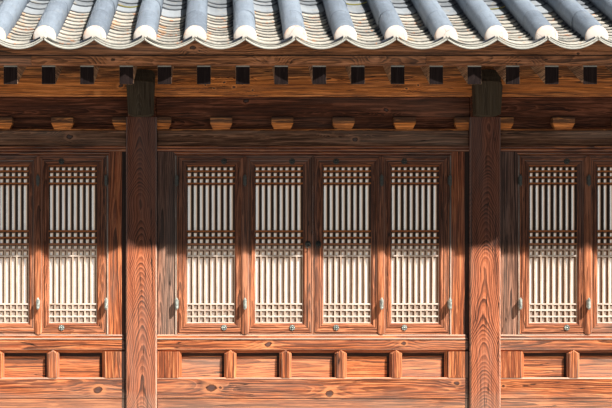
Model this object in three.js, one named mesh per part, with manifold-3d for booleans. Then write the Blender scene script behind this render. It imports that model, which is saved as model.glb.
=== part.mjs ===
// A three-bay timber house with a gabled tile roof, in the Korean manner.
// Millimetres, +Z up, +X along the house, front towards -Y.
// The origin is at the centre of the stone platform's underside.

import * as THREE from 'three';
import Module from 'manifold-3d';
import { mergeVertices } from 'three/addons/utils/BufferGeometryUtils.js';

const wasm = await Module();
wasm.setup();

// Plan, from the old foot of 303 mm.
const FOOT = 303;
const BAY = 8 * FOOT;
const BAYS = 3;
const HALF_LENGTH = BAY * BAYS / 2;
const HALF_DEPTH = 6 * FOOT;
const POST = 218;
const POST_CHAMFER = 9;
const HALF_POST = POST / 2;
// Clear gap between neighbouring solids, and how far joined pieces run into each other.
const CLEAR = 0.3;
const LAP = 1;

// Heights above the ground.
const PLATFORM_TOP = 150;
const STONE_TOP = 260;
const FLOOR_TOP = 409;
const LOW_RAIL_TOP = 557;
const HIGH_RAIL_BOTTOM = 730;
const HIGH_RAIL_TOP = 860;
const HEAD_BOTTOM = 2128;
const HEAD_TOP = 2191;
const TIE_TOP = 2304;
const POST_TOP = 2396;
const BLOCK_TOP = 2403;
const BEARER_TOP = 2544;
const PURLIN_TOP = 2806;

// Platform, foundation stones and the low wall between them.
const PLATFORM_MARGIN_X = 420;
const PLATFORM_MARGIN_Y = 450;
const STONE_FOOT = 340;
const STONE_HEAD = 280;
const LOW_WALL = 120;

// Floor.
const FLOOR_THICK = 60;
const JOIST = 80;
const JOISTS = 9;

// Sill, rails and panels under the windows. Set-backs count from the posts' faces.
const SILL_SET_BACK = 20;
const RAIL_SET_BACK = 18;
const RAIL_THICK = 112;
const STUD_SET_BACK = 24;
const PANEL_SET_BACK = 46;
const PANEL_WIDTH = 303;
const PANEL_STUD = 87;
const PANELS = 5;

// Window opening and its folding leaves.
const JAMB = 137.5;
const JAMB_SET_BACK = 30;
const JAMB_THICK = 100;
const LEAVES = 4;
const LEAF_GAP = 3;
const LEAF_THICK = 36;
const LEAF_STILE = 70.5;
const LEAF_TOP_RAIL = 68;
const LEAF_LOW_RAIL = 78;
const LEAF_POCKET = 27;
const HINGE_ACROSS = 16;
const HINGE_LENGTH = 66;
const HINGE_HEIGHTS = [1080, 1935];

// Tie beam, bearing blocks and bearer above the windows.
const TIE_THICK = 150;
const BLOCK_WIDTH = 155;
const BLOCK_FOOT = 106;
const BLOCK_TAPER = 53;
const BLOCK_PITCH = BAY / 5.6;
const BLOCKS_EACH_SIDE = 3;
const BOARD_THICK = 24;
const BEARER_THICK = 120;

// Purlins, beams and king posts.
const PURLIN_THICK = 200;
const BEAM_WIDTH = 197;
const BEAM_TOP = 2730;
const BEAM_HEAD = {
  reach: 209, top: 2650, footBack: 30, footUp: 26, crestBack: 36, crestUp: 34, neckDrop: 6,
};
const KING_POST = { width: 180, shoulder: 240, shoulderUp: 70, neckUp: 190 };
const RIDGE_PURLIN = 220;
const RIDGE_BEARER = 141;
const BEARER_SET_IN = 130;

// Gable walls: half thicknesses.
const GABLE_RAIL = 65;
const GABLE_PLASTER = 45;
const GABLE_PANEL = 30;
const GABLE_KING = 50;

// Rafters and eaves. The reach counts from the front posts' faces.
const RAFTER_SLOPE = 0.45;
const RAFTER_WIDTH = 92;
const RAFTER_HEIGHT = 125;
const RAFTER_PITCH = BAY / 9.5;
const RAFTERS_EACH_SIDE = 16;
const RAFTER_REACH = 520;
const BOARDING = 20;
const EAVE_STRIP = { low: 2686, high: 2753, front: 10, thick: 60 };
const FILLING = { setIn: 40, thick: 80, lap: 5 };
const SCALLOPED_THICK = 50;
const SCALLOP_MARGIN = 10;
const SCALLOP_FLAT = [0.3, 0.7];
const SCALLOP_CUT = 400;

// Tile slopes. The joint line is where two channel tiles meet under a rib.
const TILE_REACH = 640;
const JOINT_AT_EAVE = 2835;
const EAVE_SLOPE = 0.46;
const RIDGE_SLOPE = 0.54;
const RIB_PITCH = 328;
const RIBS_EACH_SIDE = 13;
const RIB_RADIUS = 74;
const RIB_RISE = 26;
const RIB_SHOULDER = 0.76;
const CHANNEL_DROP = 61;
const TILE_THICK = 24;
const MID_SLOPE = 1250;

// Verge.
const BARGE_THICK = 40;
const VERGE_REACH = 120;
const VERGE_TOP = 60;
const VERGE_LIP = 30;
const VERGE_BOTTOM = -25;
const BARGE_TOP_DROP = 95;
const BARGE_PAST_RAFTERS = 30;
// Underside of a bargeboard, between its tip and the roof's middle: distance and height.
const BARGE_UNDERSIDE = [[2150, 2566], [1818, 2650], [900, 3060], [0, 3470]];
const BARGE_TIP_BOTTOM = 2531;
const VERGE_BLOCK = { long: 70, reach: 86, lap: 12, below: 4, first: 45, span: 120 };
const VERGE_BLOCKS = 8;

// Ridges.
const RIDGE_BASE = { half: 150, low: 40, high: 60 };
const RIDGE_WALL = 112;
const RIDGE_WALL_HEIGHT = 290;
const RIDGE_CAP = 84;
const RIDGE_LIFT = 70;
const RIDGE_STATIONS = [-1, -0.72, -0.38, 0, 0.38, 0.72, 1];
const RIDGE_END = {
  side: 34, low: 120, high: 70, shoulder: 120, crest: 32, waist: 0.62, inside: 12, outside: 26,
};
const CAP_STEP = 5;
const CAP_SHOULDER = 0.7;
const FALLING_WALL = 80;
const FALLING_HEIGHT = 225;
const FALLING_START = 330;

// Values that follow from the ones above.
const FACE = HALF_DEPTH + HALF_POST;
const RAFTER_FOOT = HALF_DEPTH + PURLIN_THICK / 2;
const EAVE = FACE + TILE_REACH;
const CURVE = (RIDGE_SLOPE - EAVE_SLOPE) / (2 * EAVE);
const SCALLOP_END = FACE + RAFTER_REACH - SCALLOPED_THICK - 1;
const SLOPE_POINTS = [EAVE, MID_SLOPE, 0];
const LAST_RIB = (RIBS_EACH_SIDE - 0.5) * RIB_PITCH;
const LAST_RAFTER_FACE = RAFTERS_EACH_SIDE * RAFTER_PITCH + RAFTER_WIDTH / 2;
const BARGE_INNER = LAST_RAFTER_FACE + CLEAR;
const BARGE_OUTER = BARGE_INNER + BARGE_THICK;
const VERGE_EDGE = BARGE_OUTER + VERGE_REACH;
const LEAF_WIDTH = (BAY - POST - 2 * JAMB - (LEAVES + 1) * LEAF_GAP) / LEAVES;

const COLOURS = {
  stone: [0x9c9a94, 0.9],
  timber: [0x8a4f2a, 0.75],
  dark_timber: [0x4d3527, 0.8],
  paper: [0xe9e6dd, 0.95],
  plaster: [0xe6e1d4, 0.95],
  tile: [0x6f7d8c, 0.7],
};

// Closed shapes.

function box(x0, x1, y0, y1, z0, z1) {
  const geometry = new THREE.BoxGeometry(x1 - x0, y1 - y0, z1 - z0);
  geometry.translate((x0 + x1) / 2, (y0 + y1) / 2, (z0 + z1) / 2);
  return geometry;
}

function extrude(points, depth) {
  const shape = new THREE.Shape(points.map(([u, v]) => new THREE.Vector2(u, v)));
  return new THREE.ExtrudeGeometry(shape, { depth, bevelEnabled: false });
}

// An outline in Y and Z, run along X.
function prismX(points, x0, x1) {
  const geometry = extrude(points, x1 - x0);
  const turn = new THREE.Matrix4().makeBasis(
    new THREE.Vector3(0, 1, 0), new THREE.Vector3(0, 0, 1), new THREE.Vector3(1, 0, 0));
  geometry.applyMatrix4(turn);
  geometry.translate(x0, 0, 0);
  return geometry;
}

// An outline in X and Z, run along Y.
function prismY(points, y0, y1) {
  const geometry = extrude(points, y1 - y0);
  const turn = new THREE.Matrix4().makeBasis(
    new THREE.Vector3(1, 0, 0), new THREE.Vector3(0, 0, 1), new THREE.Vector3(0, -1, 0));
  geometry.applyMatrix4(turn);
  geometry.translate(0, y1, 0);
  return geometry;
}

// An outline in X and Y, run up Z.
function prismZ(points, z0, z1) {
  const geometry = extrude(points, z1 - z0);
  geometry.translate(0, 0, z0);
  return geometry;
}

// A skin over a row of outlines, each a list of points in the same order.
function loft(sections) {
  const count = sections[0].length;
  const vertices = sections.flat().flatMap((point) => [point.x, point.y, point.z]);
  const index = [];
  for (let s = 0; s < sections.length - 1; s += 1) {
    for (let i = 0; i < count; i += 1) {
      const a = s * count + i;
      const b = s * count + (i + 1) % count;
      index.push(a, b, b + count, a, b + count, a + count);
    }
  }
  const last = (sections.length - 1) * count;
  for (const [offset, section, reverse] of [[0, sections[0], true], [last, sections.at(-1), false]]) {
    const flat = flatten(section);
    const along = THREE.ShapeUtils.area(flat) > 0;
    for (const corners of THREE.ShapeUtils.triangulateShape(flat, [])) {
      const same = THREE.ShapeUtils.area(corners.map((corner) => flat[corner])) > 0 === along;
      const ordered = same === reverse ? [...corners].reverse() : corners;
      index.push(...ordered.map((corner) => corner + offset));
    }
  }
  const geometry = new THREE.BufferGeometry();
  geometry.setAttribute('position', new THREE.Float32BufferAttribute(vertices, 3));
  geometry.setIndex(index);
  return facingOut(geometry);
}

// The end outlines lie in a plane of constant X or of constant Y.
function flatten(section) {
  const alongX = section.every((point) => Math.abs(point.x - section[0].x) < 1e-6);
  return section.map((point) => new THREE.Vector2(alongX ? point.y : point.x, point.z));
}

function facingOut(geometry) {
  if (signedVolume(geometry) > 0) return geometry;
  const index = geometry.getIndex();
  for (let i = 0; i < index.count; i += 3) {
    const first = index.getX(i);
    index.setX(i, index.getX(i + 2));
    index.setX(i + 2, first);
  }
  return geometry;
}

function signedVolume(geometry) {
  const position = geometry.getAttribute('position');
  const index = geometry.getIndex();
  const corners = [new THREE.Vector3(), new THREE.Vector3(), new THREE.Vector3()];
  let sum = 0;
  for (let i = 0; i < index.count; i += 3) {
    corners.forEach((corner, k) => corner.fromBufferAttribute(position, index.getX(i + k)));
    sum += corners[0].dot(corners[1].clone().cross(corners[2])) / 6;
  }
  return sum;
}

// Joining and cutting.

function toSolid(geometry) {
  const bare = geometry.clone();
  bare.deleteAttribute('normal');
  bare.deleteAttribute('uv');
  const merged = mergeVertices(bare, 1e-3);
  return new wasm.Manifold(new wasm.Mesh({
    numProp: 3,
    vertProperties: new Float32Array(merged.getAttribute('position').array),
    triVerts: new Uint32Array(merged.getIndex().array),
  }));
}

function fromSolid(solid) {
  const mesh = solid.getMesh();
  const geometry = new THREE.BufferGeometry();
  geometry.setAttribute('position', new THREE.Float32BufferAttribute(mesh.vertProperties, 3));
  geometry.setIndex(Array.from(mesh.triVerts));
  return geometry;
}

function join(...geometries) {
  return fromSolid(geometries.map(toSolid).reduce((sum, next) => sum.add(next)));
}

function cut(geometry, ...tools) {
  return fromSolid(tools.map(toSolid).reduce((rest, tool) => rest.subtract(tool), toSolid(geometry)));
}

function mirrorY(geometry) {
  return facingOut(indexed(geometry).applyMatrix4(new THREE.Matrix4().makeScale(1, -1, 1)));
}

function mirrorX(geometry) {
  return facingOut(indexed(geometry).applyMatrix4(new THREE.Matrix4().makeScale(-1, 1, 1)));
}

function indexed(geometry) {
  const bare = geometry.clone();
  bare.deleteAttribute('normal');
  bare.deleteAttribute('uv');
  return mergeVertices(bare, 1e-3);
}

// Heights along a slope. The distance along Y counts from the house's middle line.

function rafterBottom(y) {
  return PURLIN_TOP + RAFTER_SLOPE * (RAFTER_FOOT - Math.abs(y));
}

function boardingTop(y) {
  return rafterBottom(y) + RAFTER_HEIGHT + BOARDING;
}

// The slope is drawn with straight runs between the points of a shallow curve.
function jointLine(y) {
  const reach = Math.abs(y);
  const next = Math.max(1, SLOPE_POINTS.findIndex((point) => point <= reach + 1e-9));
  const [far, near] = [SLOPE_POINTS[next - 1], SLOPE_POINTS[next]];
  const part = (far - reach) / (far - near);
  return jointCurve(far) + part * (jointCurve(near) - jointCurve(far));
}

function jointCurve(reach) {
  const inward = EAVE - reach;
  return JOINT_AT_EAVE + EAVE_SLOPE * inward + CURVE * inward * inward;
}

// Stonework and floor.

function stonePlatform() {
  const pieces = [box(-HALF_LENGTH - PLATFORM_MARGIN_X, HALF_LENGTH + PLATFORM_MARGIN_X,
    -HALF_DEPTH - PLATFORM_MARGIN_Y, HALF_DEPTH + PLATFORM_MARGIN_Y, 0, PLATFORM_TOP)];
  const half = LOW_WALL / 2;
  for (const side of [-1, 1]) {
    const y = side * HALF_DEPTH;
    const x = side * HALF_LENGTH;
    pieces.push(box(-HALF_LENGTH, HALF_LENGTH, y - half, y + half, PLATFORM_TOP - LAP, STONE_TOP));
    pieces.push(box(x - half, x + half, -HALF_DEPTH, HALF_DEPTH, PLATFORM_TOP - LAP, STONE_TOP));
    for (let i = 0; i <= BAYS; i += 1) pieces.push(foundationStone(i * BAY - HALF_LENGTH, y));
    pieces.push(foundationStone(x, 0));
  }
  return join(...pieces);
}

function foundationStone(x, y) {
  const square = (half, z) => [[-half, -half], [half, -half], [half, half], [-half, half]]
    .map(([dx, dy]) => new THREE.Vector3(x + dx, y + dy, z));
  const low = square(STONE_FOOT / 2, PLATFORM_TOP - LAP);
  const high = square(STONE_HEAD / 2, STONE_TOP);
  const geometry = new THREE.BufferGeometry();
  const corners = [...low, ...high].flatMap((point) => [point.x, point.y, point.z]);
  geometry.setAttribute('position', new THREE.Float32BufferAttribute(corners, 3));
  geometry.setIndex([0, 2, 1, 0, 3, 2, 4, 5, 6, 4, 6, 7, 0, 1, 5, 0, 5, 4,
    1, 2, 6, 1, 6, 5, 2, 3, 7, 2, 7, 6, 3, 0, 4, 3, 4, 7]);
  return geometry;
}

function floor() {
  const halfX = HALF_LENGTH - HALF_POST;
  const halfY = HALF_DEPTH - HALF_POST;
  const boards = box(-halfX, halfX, -halfY, halfY, FLOOR_TOP - FLOOR_THICK, FLOOR_TOP);
  const joists = [];
  for (let i = 0; i < JOISTS; i += 1) {
    const x = (i - (JOISTS - 1) / 2) * (2 * halfX - JOIST) / (JOISTS - 1);
    const top = FLOOR_TOP - FLOOR_THICK + LAP;
    joists.push(box(x - JOIST / 2, x + JOIST / 2, -halfY, halfY, top - JOIST, top));
  }
  return join(boards, ...joists);
}

function post() {
  const h = HALF_POST;
  const c = h - POST_CHAMFER;
  return prismZ([[c, -h], [h, -c], [h, c], [c, h], [-c, h], [-h, c], [-h, -c], [-c, -h]],
    STONE_TOP, POST_TOP);
}

// The timber wall of one bay, about the bay's middle, with the front at -Y.

function windowFrame() {
  const half = BAY / 2 - HALF_POST;
  const inner = -HALF_DEPTH + HALF_POST;
  const back = -FACE + RAIL_SET_BACK + RAIL_THICK;
  const pieces = [
    box(-half, half, -FACE + SILL_SET_BACK, inner, STONE_TOP, FLOOR_TOP),
    box(-half, half, -FACE + RAIL_SET_BACK, back, FLOOR_TOP, LOW_RAIL_TOP),
    box(-half, half, -FACE + RAIL_SET_BACK, back, HIGH_RAIL_BOTTOM, HIGH_RAIL_TOP),
    box(-half, half, -FACE + PANEL_SET_BACK, back, LOW_RAIL_TOP - LAP, HIGH_RAIL_BOTTOM + LAP),
  ];
  const stud = (x0, x1) => box(x0, x1, -FACE + STUD_SET_BACK, back,
    LOW_RAIL_TOP - LAP, HIGH_RAIL_BOTTOM + LAP);
  const pitch = PANEL_WIDTH + PANEL_STUD;
  const fieldHalf = (PANELS * pitch - PANEL_STUD) / 2;
  pieces.push(stud(-half, -fieldHalf), stud(fieldHalf, half));
  for (let i = 1; i < PANELS; i += 1) {
    const x = -fieldHalf + i * pitch - PANEL_STUD / 2;
    pieces.push(stud(x - PANEL_STUD / 2, x + PANEL_STUD / 2));
  }
  const front = -FACE + JAMB_SET_BACK;
  for (const side of [-1, 1]) {
    const x = side * (half - JAMB / 2);
    pieces.push(box(x - JAMB / 2, x + JAMB / 2, front, front + JAMB_THICK,
      HIGH_RAIL_TOP - LAP, HEAD_BOTTOM + LAP));
  }
  pieces.push(box(-half, half, -FACE + RAIL_SET_BACK, front + JAMB_THICK, HEAD_BOTTOM, HEAD_TOP));
  return join(...pieces);
}

function leafCentre(i) {
  return (i - (LEAVES - 1) / 2) * (LEAF_WIDTH + LEAF_GAP);
}

// One leaf: a framed panel, hollowed in front where the lattice stands.
function leaf(x) {
  const front = -FACE + JAMB_SET_BACK;
  const back = front + LEAF_THICK;
  const low = HIGH_RAIL_TOP + LEAF_GAP;
  const high = HEAD_BOTTOM - LEAF_GAP;
  const half = LEAF_WIDTH / 2;
  const inner = half - LEAF_STILE;
  return cut(box(x - half, x + half, front, back, low, high), box(x - inner, x + inner,
    front - LAP, front + LEAF_POCKET, low + LEAF_LOW_RAIL, high - LEAF_TOP_RAIL));
}

function hinge(x0, x1, embed) {
  const back = -FACE + JAMB_SET_BACK + embed;
  return HINGE_HEIGHTS.map((z) => box(x0, x1, back - HINGE_ACROSS, back,
    z - HINGE_LENGTH / 2, z + HINGE_LENGTH / 2));
}

// Neighbouring leaves fold together on their shared hinges. The outer leaves
// hang from the jambs: each of those hinges lies on the jamb's face, and its
// plate is let into the leaf.
function leafRow(first, last) {
  const pieces = [];
  for (let i = first; i <= last; i += 1) pieces.push(leaf(leafCentre(i)));
  for (let i = first; i < last; i += 1) {
    const x = (leafCentre(i) + leafCentre(i + 1)) / 2;
    pieces.push(...hinge(x - HINGE_ACROSS / 2, x + HINGE_ACROSS / 2, LAP));
  }
  for (const [i, side] of [[0, -1], [LEAVES - 1, 1]]) {
    if (i < first || i > last) continue;
    const edge = leafCentre(i) + side * LEAF_WIDTH / 2;
    const outer = edge + side * (LEAF_GAP + HINGE_ACROSS) / 2;
    const plate = edge - side * HINGE_ACROSS / 2;
    pieces.push(...hinge(Math.min(outer, plate), Math.max(outer, plate), 0));
    pieces.push(...hinge(Math.min(edge, plate), Math.max(edge, plate), LAP));
  }
  return join(...pieces);
}

// Tie beam between two posts, with the bearing blocks that stand on it, the
// board behind them and the bearer that they carry.
function tieBeam() {
  const half = BAY / 2 - HALF_POST;
  const y = -HALF_DEPTH;
  const long = BAY / 2 - BEAM_WIDTH / 2;
  const pieces = [
    box(-half, half, y - TIE_THICK / 2, y + TIE_THICK / 2, HEAD_TOP, TIE_TOP),
    box(-half, half, y - BOARD_THICK / 2, y + BOARD_THICK / 2, TIE_TOP - LAP, BLOCK_TOP + LAP),
    box(-long, long, y - BEARER_THICK / 2, y + BEARER_THICK / 2, BLOCK_TOP, BEARER_TOP),
  ];
  for (let i = -BLOCKS_EACH_SIDE; i < BLOCKS_EACH_SIDE; i += 1) {
    const x = (i + 0.5) * BLOCK_PITCH;
    const clip = (value) => Math.max(-half, Math.min(half, value));
    const outline = [[x - BLOCK_FOOT / 2, TIE_TOP - LAP], [x + BLOCK_FOOT / 2, TIE_TOP - LAP],
      [x + BLOCK_WIDTH / 2, TIE_TOP + BLOCK_TAPER], [x + BLOCK_WIDTH / 2, BLOCK_TOP + LAP],
      [x - BLOCK_WIDTH / 2, BLOCK_TOP + LAP], [x - BLOCK_WIDTH / 2, TIE_TOP + BLOCK_TAPER]];
    const clipped = outline.map(([u, v]) => [clip(u), v]);
    pieces.push(prismY(withoutRepeats(clipped), y - BLOCK_WIDTH / 2, y + BLOCK_WIDTH / 2));
  }
  return join(...pieces);
}

function withoutRepeats(points) {
  return points.filter((point, i) => {
    const next = points[(i + 1) % points.length];
    return Math.hypot(point[0] - next[0], point[1] - next[1]) > 1e-6;
  });
}

// Frame across the house.

function beamOutline() {
  const head = BEAM_HEAD;
  const tip = HALF_DEPTH + head.reach;
  const seatOuter = RAFTER_FOOT + CLEAR;
  const seatInner = HALF_DEPTH - PURLIN_THICK / 2 - CLEAR;
  const right = [[tip - head.footBack, POST_TOP], [tip, POST_TOP + head.footUp], [tip, head.top],
    [tip - head.crestBack, head.top + head.crestUp], [seatOuter, BEAM_TOP - head.neckDrop],
    [seatOuter, BEARER_TOP], [seatInner, BEARER_TOP], [seatInner, BEAM_TOP]];
  const left = right.map(([y, z]) => [-y, z]).reverse();
  return [...right, ...left];
}

function beam(x, withKingPost) {
  const body = prismX(beamOutline(), x - BEAM_WIDTH / 2, x + BEAM_WIDTH / 2);
  if (!withKingPost) return body;
  const top = ridgePurlinTop() - RIDGE_PURLIN - RIDGE_BEARER;
  const half = KING_POST.width / 2;
  const right = [[KING_POST.shoulder, BEAM_TOP - LAP],
    [KING_POST.shoulder, BEAM_TOP + KING_POST.shoulderUp],
    [half, BEAM_TOP + KING_POST.neckUp], [half, top]];
  const left = right.map(([y, z]) => [-y, z]).reverse();
  return join(body, prismX([...right, ...left], x - half, x + half));
}

function ridgePurlinTop() {
  return rafterBottom(PURLIN_THICK / 2);
}

// The eave purlin, with the ends of the bearer that show under it at the gables.
function eavePurlin() {
  const y = -HALF_DEPTH;
  const end = BARGE_INNER - CLEAR;
  const stubStart = HALF_LENGTH + BEAM_WIDTH / 2;
  const stubEnd = end - BEARER_SET_IN;
  const stub = (x0, x1) => box(x0, x1, y - BEARER_THICK / 2, y + BEARER_THICK / 2,
    BLOCK_TOP, BEARER_TOP + LAP);
  return join(
    box(-end, end, y - PURLIN_THICK / 2, y + PURLIN_THICK / 2, BEARER_TOP, PURLIN_TOP),
    stub(stubStart, stubEnd), stub(-stubEnd, -stubStart));
}

function ridgePurlin() {
  const end = BARGE_INNER - CLEAR;
  const top = ridgePurlinTop();
  return join(
    box(-end, end, -PURLIN_THICK / 2, PURLIN_THICK / 2, top - RIDGE_PURLIN, top),
    box(-end + BEARER_SET_IN, end - BEARER_SET_IN, -BEARER_THICK / 2, BEARER_THICK / 2,
      top - RIDGE_PURLIN - RIDGE_BEARER, top - RIDGE_PURLIN + LAP));
}

// Gable walls, about X = 0 with the outside towards +X.

function gableWall() {
  const half = HALF_DEPTH - HALF_POST;
  const outer = HALF_POST - SILL_SET_BACK;
  const rail = (z0, z1, x0, x1) => box(x0, x1, -half, half, z0, z1);
  return join(
    rail(STONE_TOP, FLOOR_TOP, -HALF_POST, outer),
    rail(HIGH_RAIL_BOTTOM, HIGH_RAIL_TOP, -GABLE_RAIL, outer),
    rail(HEAD_TOP, TIE_TOP, -GABLE_RAIL, outer),
    rail(FLOOR_TOP - LAP, POST_TOP, -GABLE_PLASTER, GABLE_PLASTER),
    box(-HALF_POST, HALF_POST, -HALF_POST, HALF_POST, STONE_TOP, POST_TOP));
}

function gablePanel() {
  const seat = HALF_DEPTH - PURLIN_THICK / 2 - CLEAR;
  const under = (y) => rafterBottom(y) - LAP;
  const purlinHalf = PURLIN_THICK / 2 + CLEAR;
  const bearerHalf = BEARER_THICK / 2 + CLEAR;
  const purlinLow = ridgePurlinTop() - RIDGE_PURLIN;
  const bearerLow = purlinLow - RIDGE_BEARER;
  const right = [[seat, BEAM_TOP], [seat, under(seat)], [purlinHalf, under(purlinHalf)],
    [purlinHalf, purlinLow - CLEAR], [bearerHalf, purlinLow - CLEAR], [bearerHalf, bearerLow]];
  const outline = [...right, ...right.map(([y, z]) => [-y, z]).reverse()];
  const kingHalf = KING_POST.width / 2;
  return join(prismX(outline, -GABLE_PANEL, GABLE_PANEL),
    box(-GABLE_KING, GABLE_KING, -kingHalf, kingHalf, BEAM_TOP, bearerLow));
}

// Front roof timbers: rafters, boarding, eave strip, scalloped board and the
// filling between the rafters over the purlin.
function roofTimbers() {
  const tip = FACE + RAFTER_REACH;
  const top = -CLEAR / 2;
  const band = (low, high) => [[-tip, low(-tip)], [top, low(top)], [top, high(top)], [-tip, high(-tip)]];
  const rafterTop = (y) => rafterBottom(y) + RAFTER_HEIGHT + LAP;
  const boardLow = (y) => rafterBottom(y) + RAFTER_HEIGHT;
  const pieces = [prismX(band(boardLow, boardingTop), -LAST_RAFTER_FACE, LAST_RAFTER_FACE)];
  for (let i = -RAFTERS_EACH_SIDE; i <= RAFTERS_EACH_SIDE; i += 1) {
    const x = i * RAFTER_PITCH;
    pieces.push(prismX(band(rafterBottom, rafterTop), x - RAFTER_WIDTH / 2, x + RAFTER_WIDTH / 2));
  }
  const stripFront = -tip - EAVE_STRIP.front;
  pieces.push(box(-LAST_RAFTER_FACE, LAST_RAFTER_FACE, stripFront, stripFront + EAVE_STRIP.thick,
    EAVE_STRIP.low, EAVE_STRIP.high));
  const fillFront = -RAFTER_FOOT + FILLING.setIn;
  pieces.push(box(-LAST_RAFTER_FACE, LAST_RAFTER_FACE, fillFront, fillFront + FILLING.thick,
    PURLIN_TOP, boardLow(fillFront) + FILLING.lap));
  pieces.push(scallopedBoard(-tip));
  return join(...pieces);
}

function scallopedBoard(front) {
  const outline = scallops(LAST_RAFTER_FACE, EAVE_STRIP.high - LAP, jointLine(front) - CLEAR);
  return prismY(outline, front, front + SCALLOPED_THICK);
}

// A band with a flat low edge, scalloped above to the undersides of the channels.
function scallops(half, low, joint) {
  const outline = [[-half, low], [half, low], [half, joint + VERGE_BOTTOM],
    [LAST_RIB + SCALLOP_MARGIN, joint + VERGE_BOTTOM]];
  for (let i = RIBS_EACH_SIDE - 1; i >= -RIBS_EACH_SIDE; i -= 1) {
    const x = (i + 0.5) * RIB_PITCH;
    outline.push([x, joint]);
    if (i === -RIBS_EACH_SIDE) break;
    outline.push(...SCALLOP_FLAT.map((part) => [x - RIB_PITCH * part, joint - CHANNEL_DROP]));
  }
  outline.push([-LAST_RIB - SCALLOP_MARGIN, joint + VERGE_BOTTOM], [-half, joint + VERGE_BOTTOM]);
  return outline;
}

// Front tile slope with its clay bed, ribs and channels, and the verge tiles at
// both ends. The bed lies on the boarding, and the channels are hollowed out
// under the overhang.
function tileSlope() {
  const slab = loft(SLOPE_POINTS.map((y) => slopeOutline(-Math.max(y, CLEAR / 2))));
  const hollow = loft([EAVE + LAP, SCALLOP_END].map((y) => hollowOutline(-y)));
  return cut(slab, hollow);
}

function slopeOutline(y) {
  const joint = jointLine(y);
  const points = [];
  const add = (x, z) => points.push(new THREE.Vector3(x, y, z));
  add(-VERGE_EDGE, joint + VERGE_BOTTOM);
  add(-VERGE_EDGE, joint + VERGE_LIP);
  const springing = -CHANNEL_DROP + TILE_THICK + springRise();
  const shoulder = RIB_RADIUS * RIB_SHOULDER;
  for (let i = -RIBS_EACH_SIDE; i < RIBS_EACH_SIDE; i += 1) {
    const x = (i + 0.5) * RIB_PITCH;
    const last = i === RIBS_EACH_SIDE - 1;
    add(x - RIB_RADIUS, joint + (i === -RIBS_EACH_SIDE ? VERGE_TOP : springing));
    add(x - shoulder, joint + RIB_RISE + shoulder);
    add(x, joint + RIB_RISE + RIB_RADIUS);
    add(x + shoulder, joint + RIB_RISE + shoulder);
    add(x + RIB_RADIUS, joint + (last ? VERGE_TOP : springing));
    if (!last) add(x + RIB_PITCH / 2, joint - CHANNEL_DROP + TILE_THICK);
  }
  add(VERGE_EDGE, joint + VERGE_LIP);
  add(VERGE_EDGE, joint + VERGE_BOTTOM);
  const bed = boardingTop(y) + CLEAR;
  add(LAST_RAFTER_FACE, joint + VERGE_BOTTOM);
  add(LAST_RAFTER_FACE, bed);
  add(-LAST_RAFTER_FACE, bed);
  add(-LAST_RAFTER_FACE, joint + VERGE_BOTTOM);
  return points;
}

function hollowOutline(y) {
  return scallops(LAST_RAFTER_FACE + LAP, JOINT_AT_EAVE - SCALLOP_CUT, jointLine(y))
    .map(([x, z]) => new THREE.Vector3(x, y, z));
}

// Ridges: the main one along the top and four that fall along the verges.

function ridges() {
  const crown = jointLine(0) + RIB_RISE + RIB_RADIUS + CLEAR;
  const foot = (y) => jointLine(y) + RIB_RISE + RIB_RADIUS + CLEAR;
  const end = LAST_RIB + RIB_RADIUS;
  const section = (x) => {
    const lift = RIDGE_LIFT * (x / end) ** 2;
    const wallTop = crown + RIDGE_WALL_HEIGHT + lift;
    const cap = RIDGE_CAP * CAP_SHOULDER;
    const right = [[RIDGE_BASE.half, foot(RIDGE_BASE.half)], [RIDGE_BASE.half, crown + RIDGE_BASE.low],
      [RIDGE_WALL, crown + RIDGE_BASE.high], [RIDGE_WALL, wallTop], [RIDGE_CAP, wallTop + CAP_STEP],
      [cap, wallTop + cap], [0, wallTop + RIDGE_CAP]];
    const left = right.slice(0, -1).map(([y, z]) => [-y, z]).reverse();
    return [[0, crown], ...right, ...left].map(([y, z]) => new THREE.Vector3(x, y, z));
  };
  const pieces = [loft(RIDGE_STATIONS.map((part) => section(part * end)))];
  for (const side of [-1, 1]) {
    const falling = fallingRidge(side * (LAST_RIB - RIB_PITCH / 2));
    pieces.push(falling, mirrorY(falling), ridgeEnd(side, end, crown));
  }
  return join(...pieces);
}

// The end tile stands upright and closes the main ridge.
function ridgeEnd(side, end, crown) {
  const half = RIDGE_WALL + RIDGE_END.side;
  const waist = half * RIDGE_END.waist;
  const low = crown + RIDGE_END.low;
  const high = crown + RIDGE_WALL_HEIGHT + RIDGE_LIFT + RIDGE_CAP + RIDGE_END.high;
  const outline = [[-half, low], [half, low], [half, high - RIDGE_END.shoulder],
    [waist, high - RIDGE_END.crest], [0, high], [-waist, high - RIDGE_END.crest],
    [-half, high - RIDGE_END.shoulder]];
  const near = end - RIDGE_END.inside;
  const far = end + RIDGE_END.outside;
  return side > 0 ? prismX(outline, near, far) : prismX(outline, -far, -near);
}

function fallingRidge(centre) {
  const stations = [EAVE - FALLING_START, MID_SLOPE, RIDGE_WALL - LAP];
  const inset = FALLING_WALL;
  return loft(stations.map((y) => {
    const joint = jointLine(y);
    const channel = joint - CHANNEL_DROP + TILE_THICK + CLEAR;
    const side = channel + (inset / (RIB_PITCH / 2 - RIB_RADIUS)) * springRise() + CLEAR;
    const top = joint + FALLING_HEIGHT;
    const cap = RIB_RADIUS * CAP_SHOULDER;
    return [[0, channel], [inset, side], [inset, top], [RIB_RADIUS, top + CAP_STEP], [cap, top + cap],
      [0, top + RIB_RADIUS], [-cap, top + cap], [-RIB_RADIUS, top + CAP_STEP], [-inset, top],
      [-inset, side]]
      .map(([x, z]) => new THREE.Vector3(centre + x, -y, z));
  }));
}

function springRise() {
  return CHANNEL_DROP * (1 - 2 * RIB_RADIUS / RIB_PITCH) ** 2;
}

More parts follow.
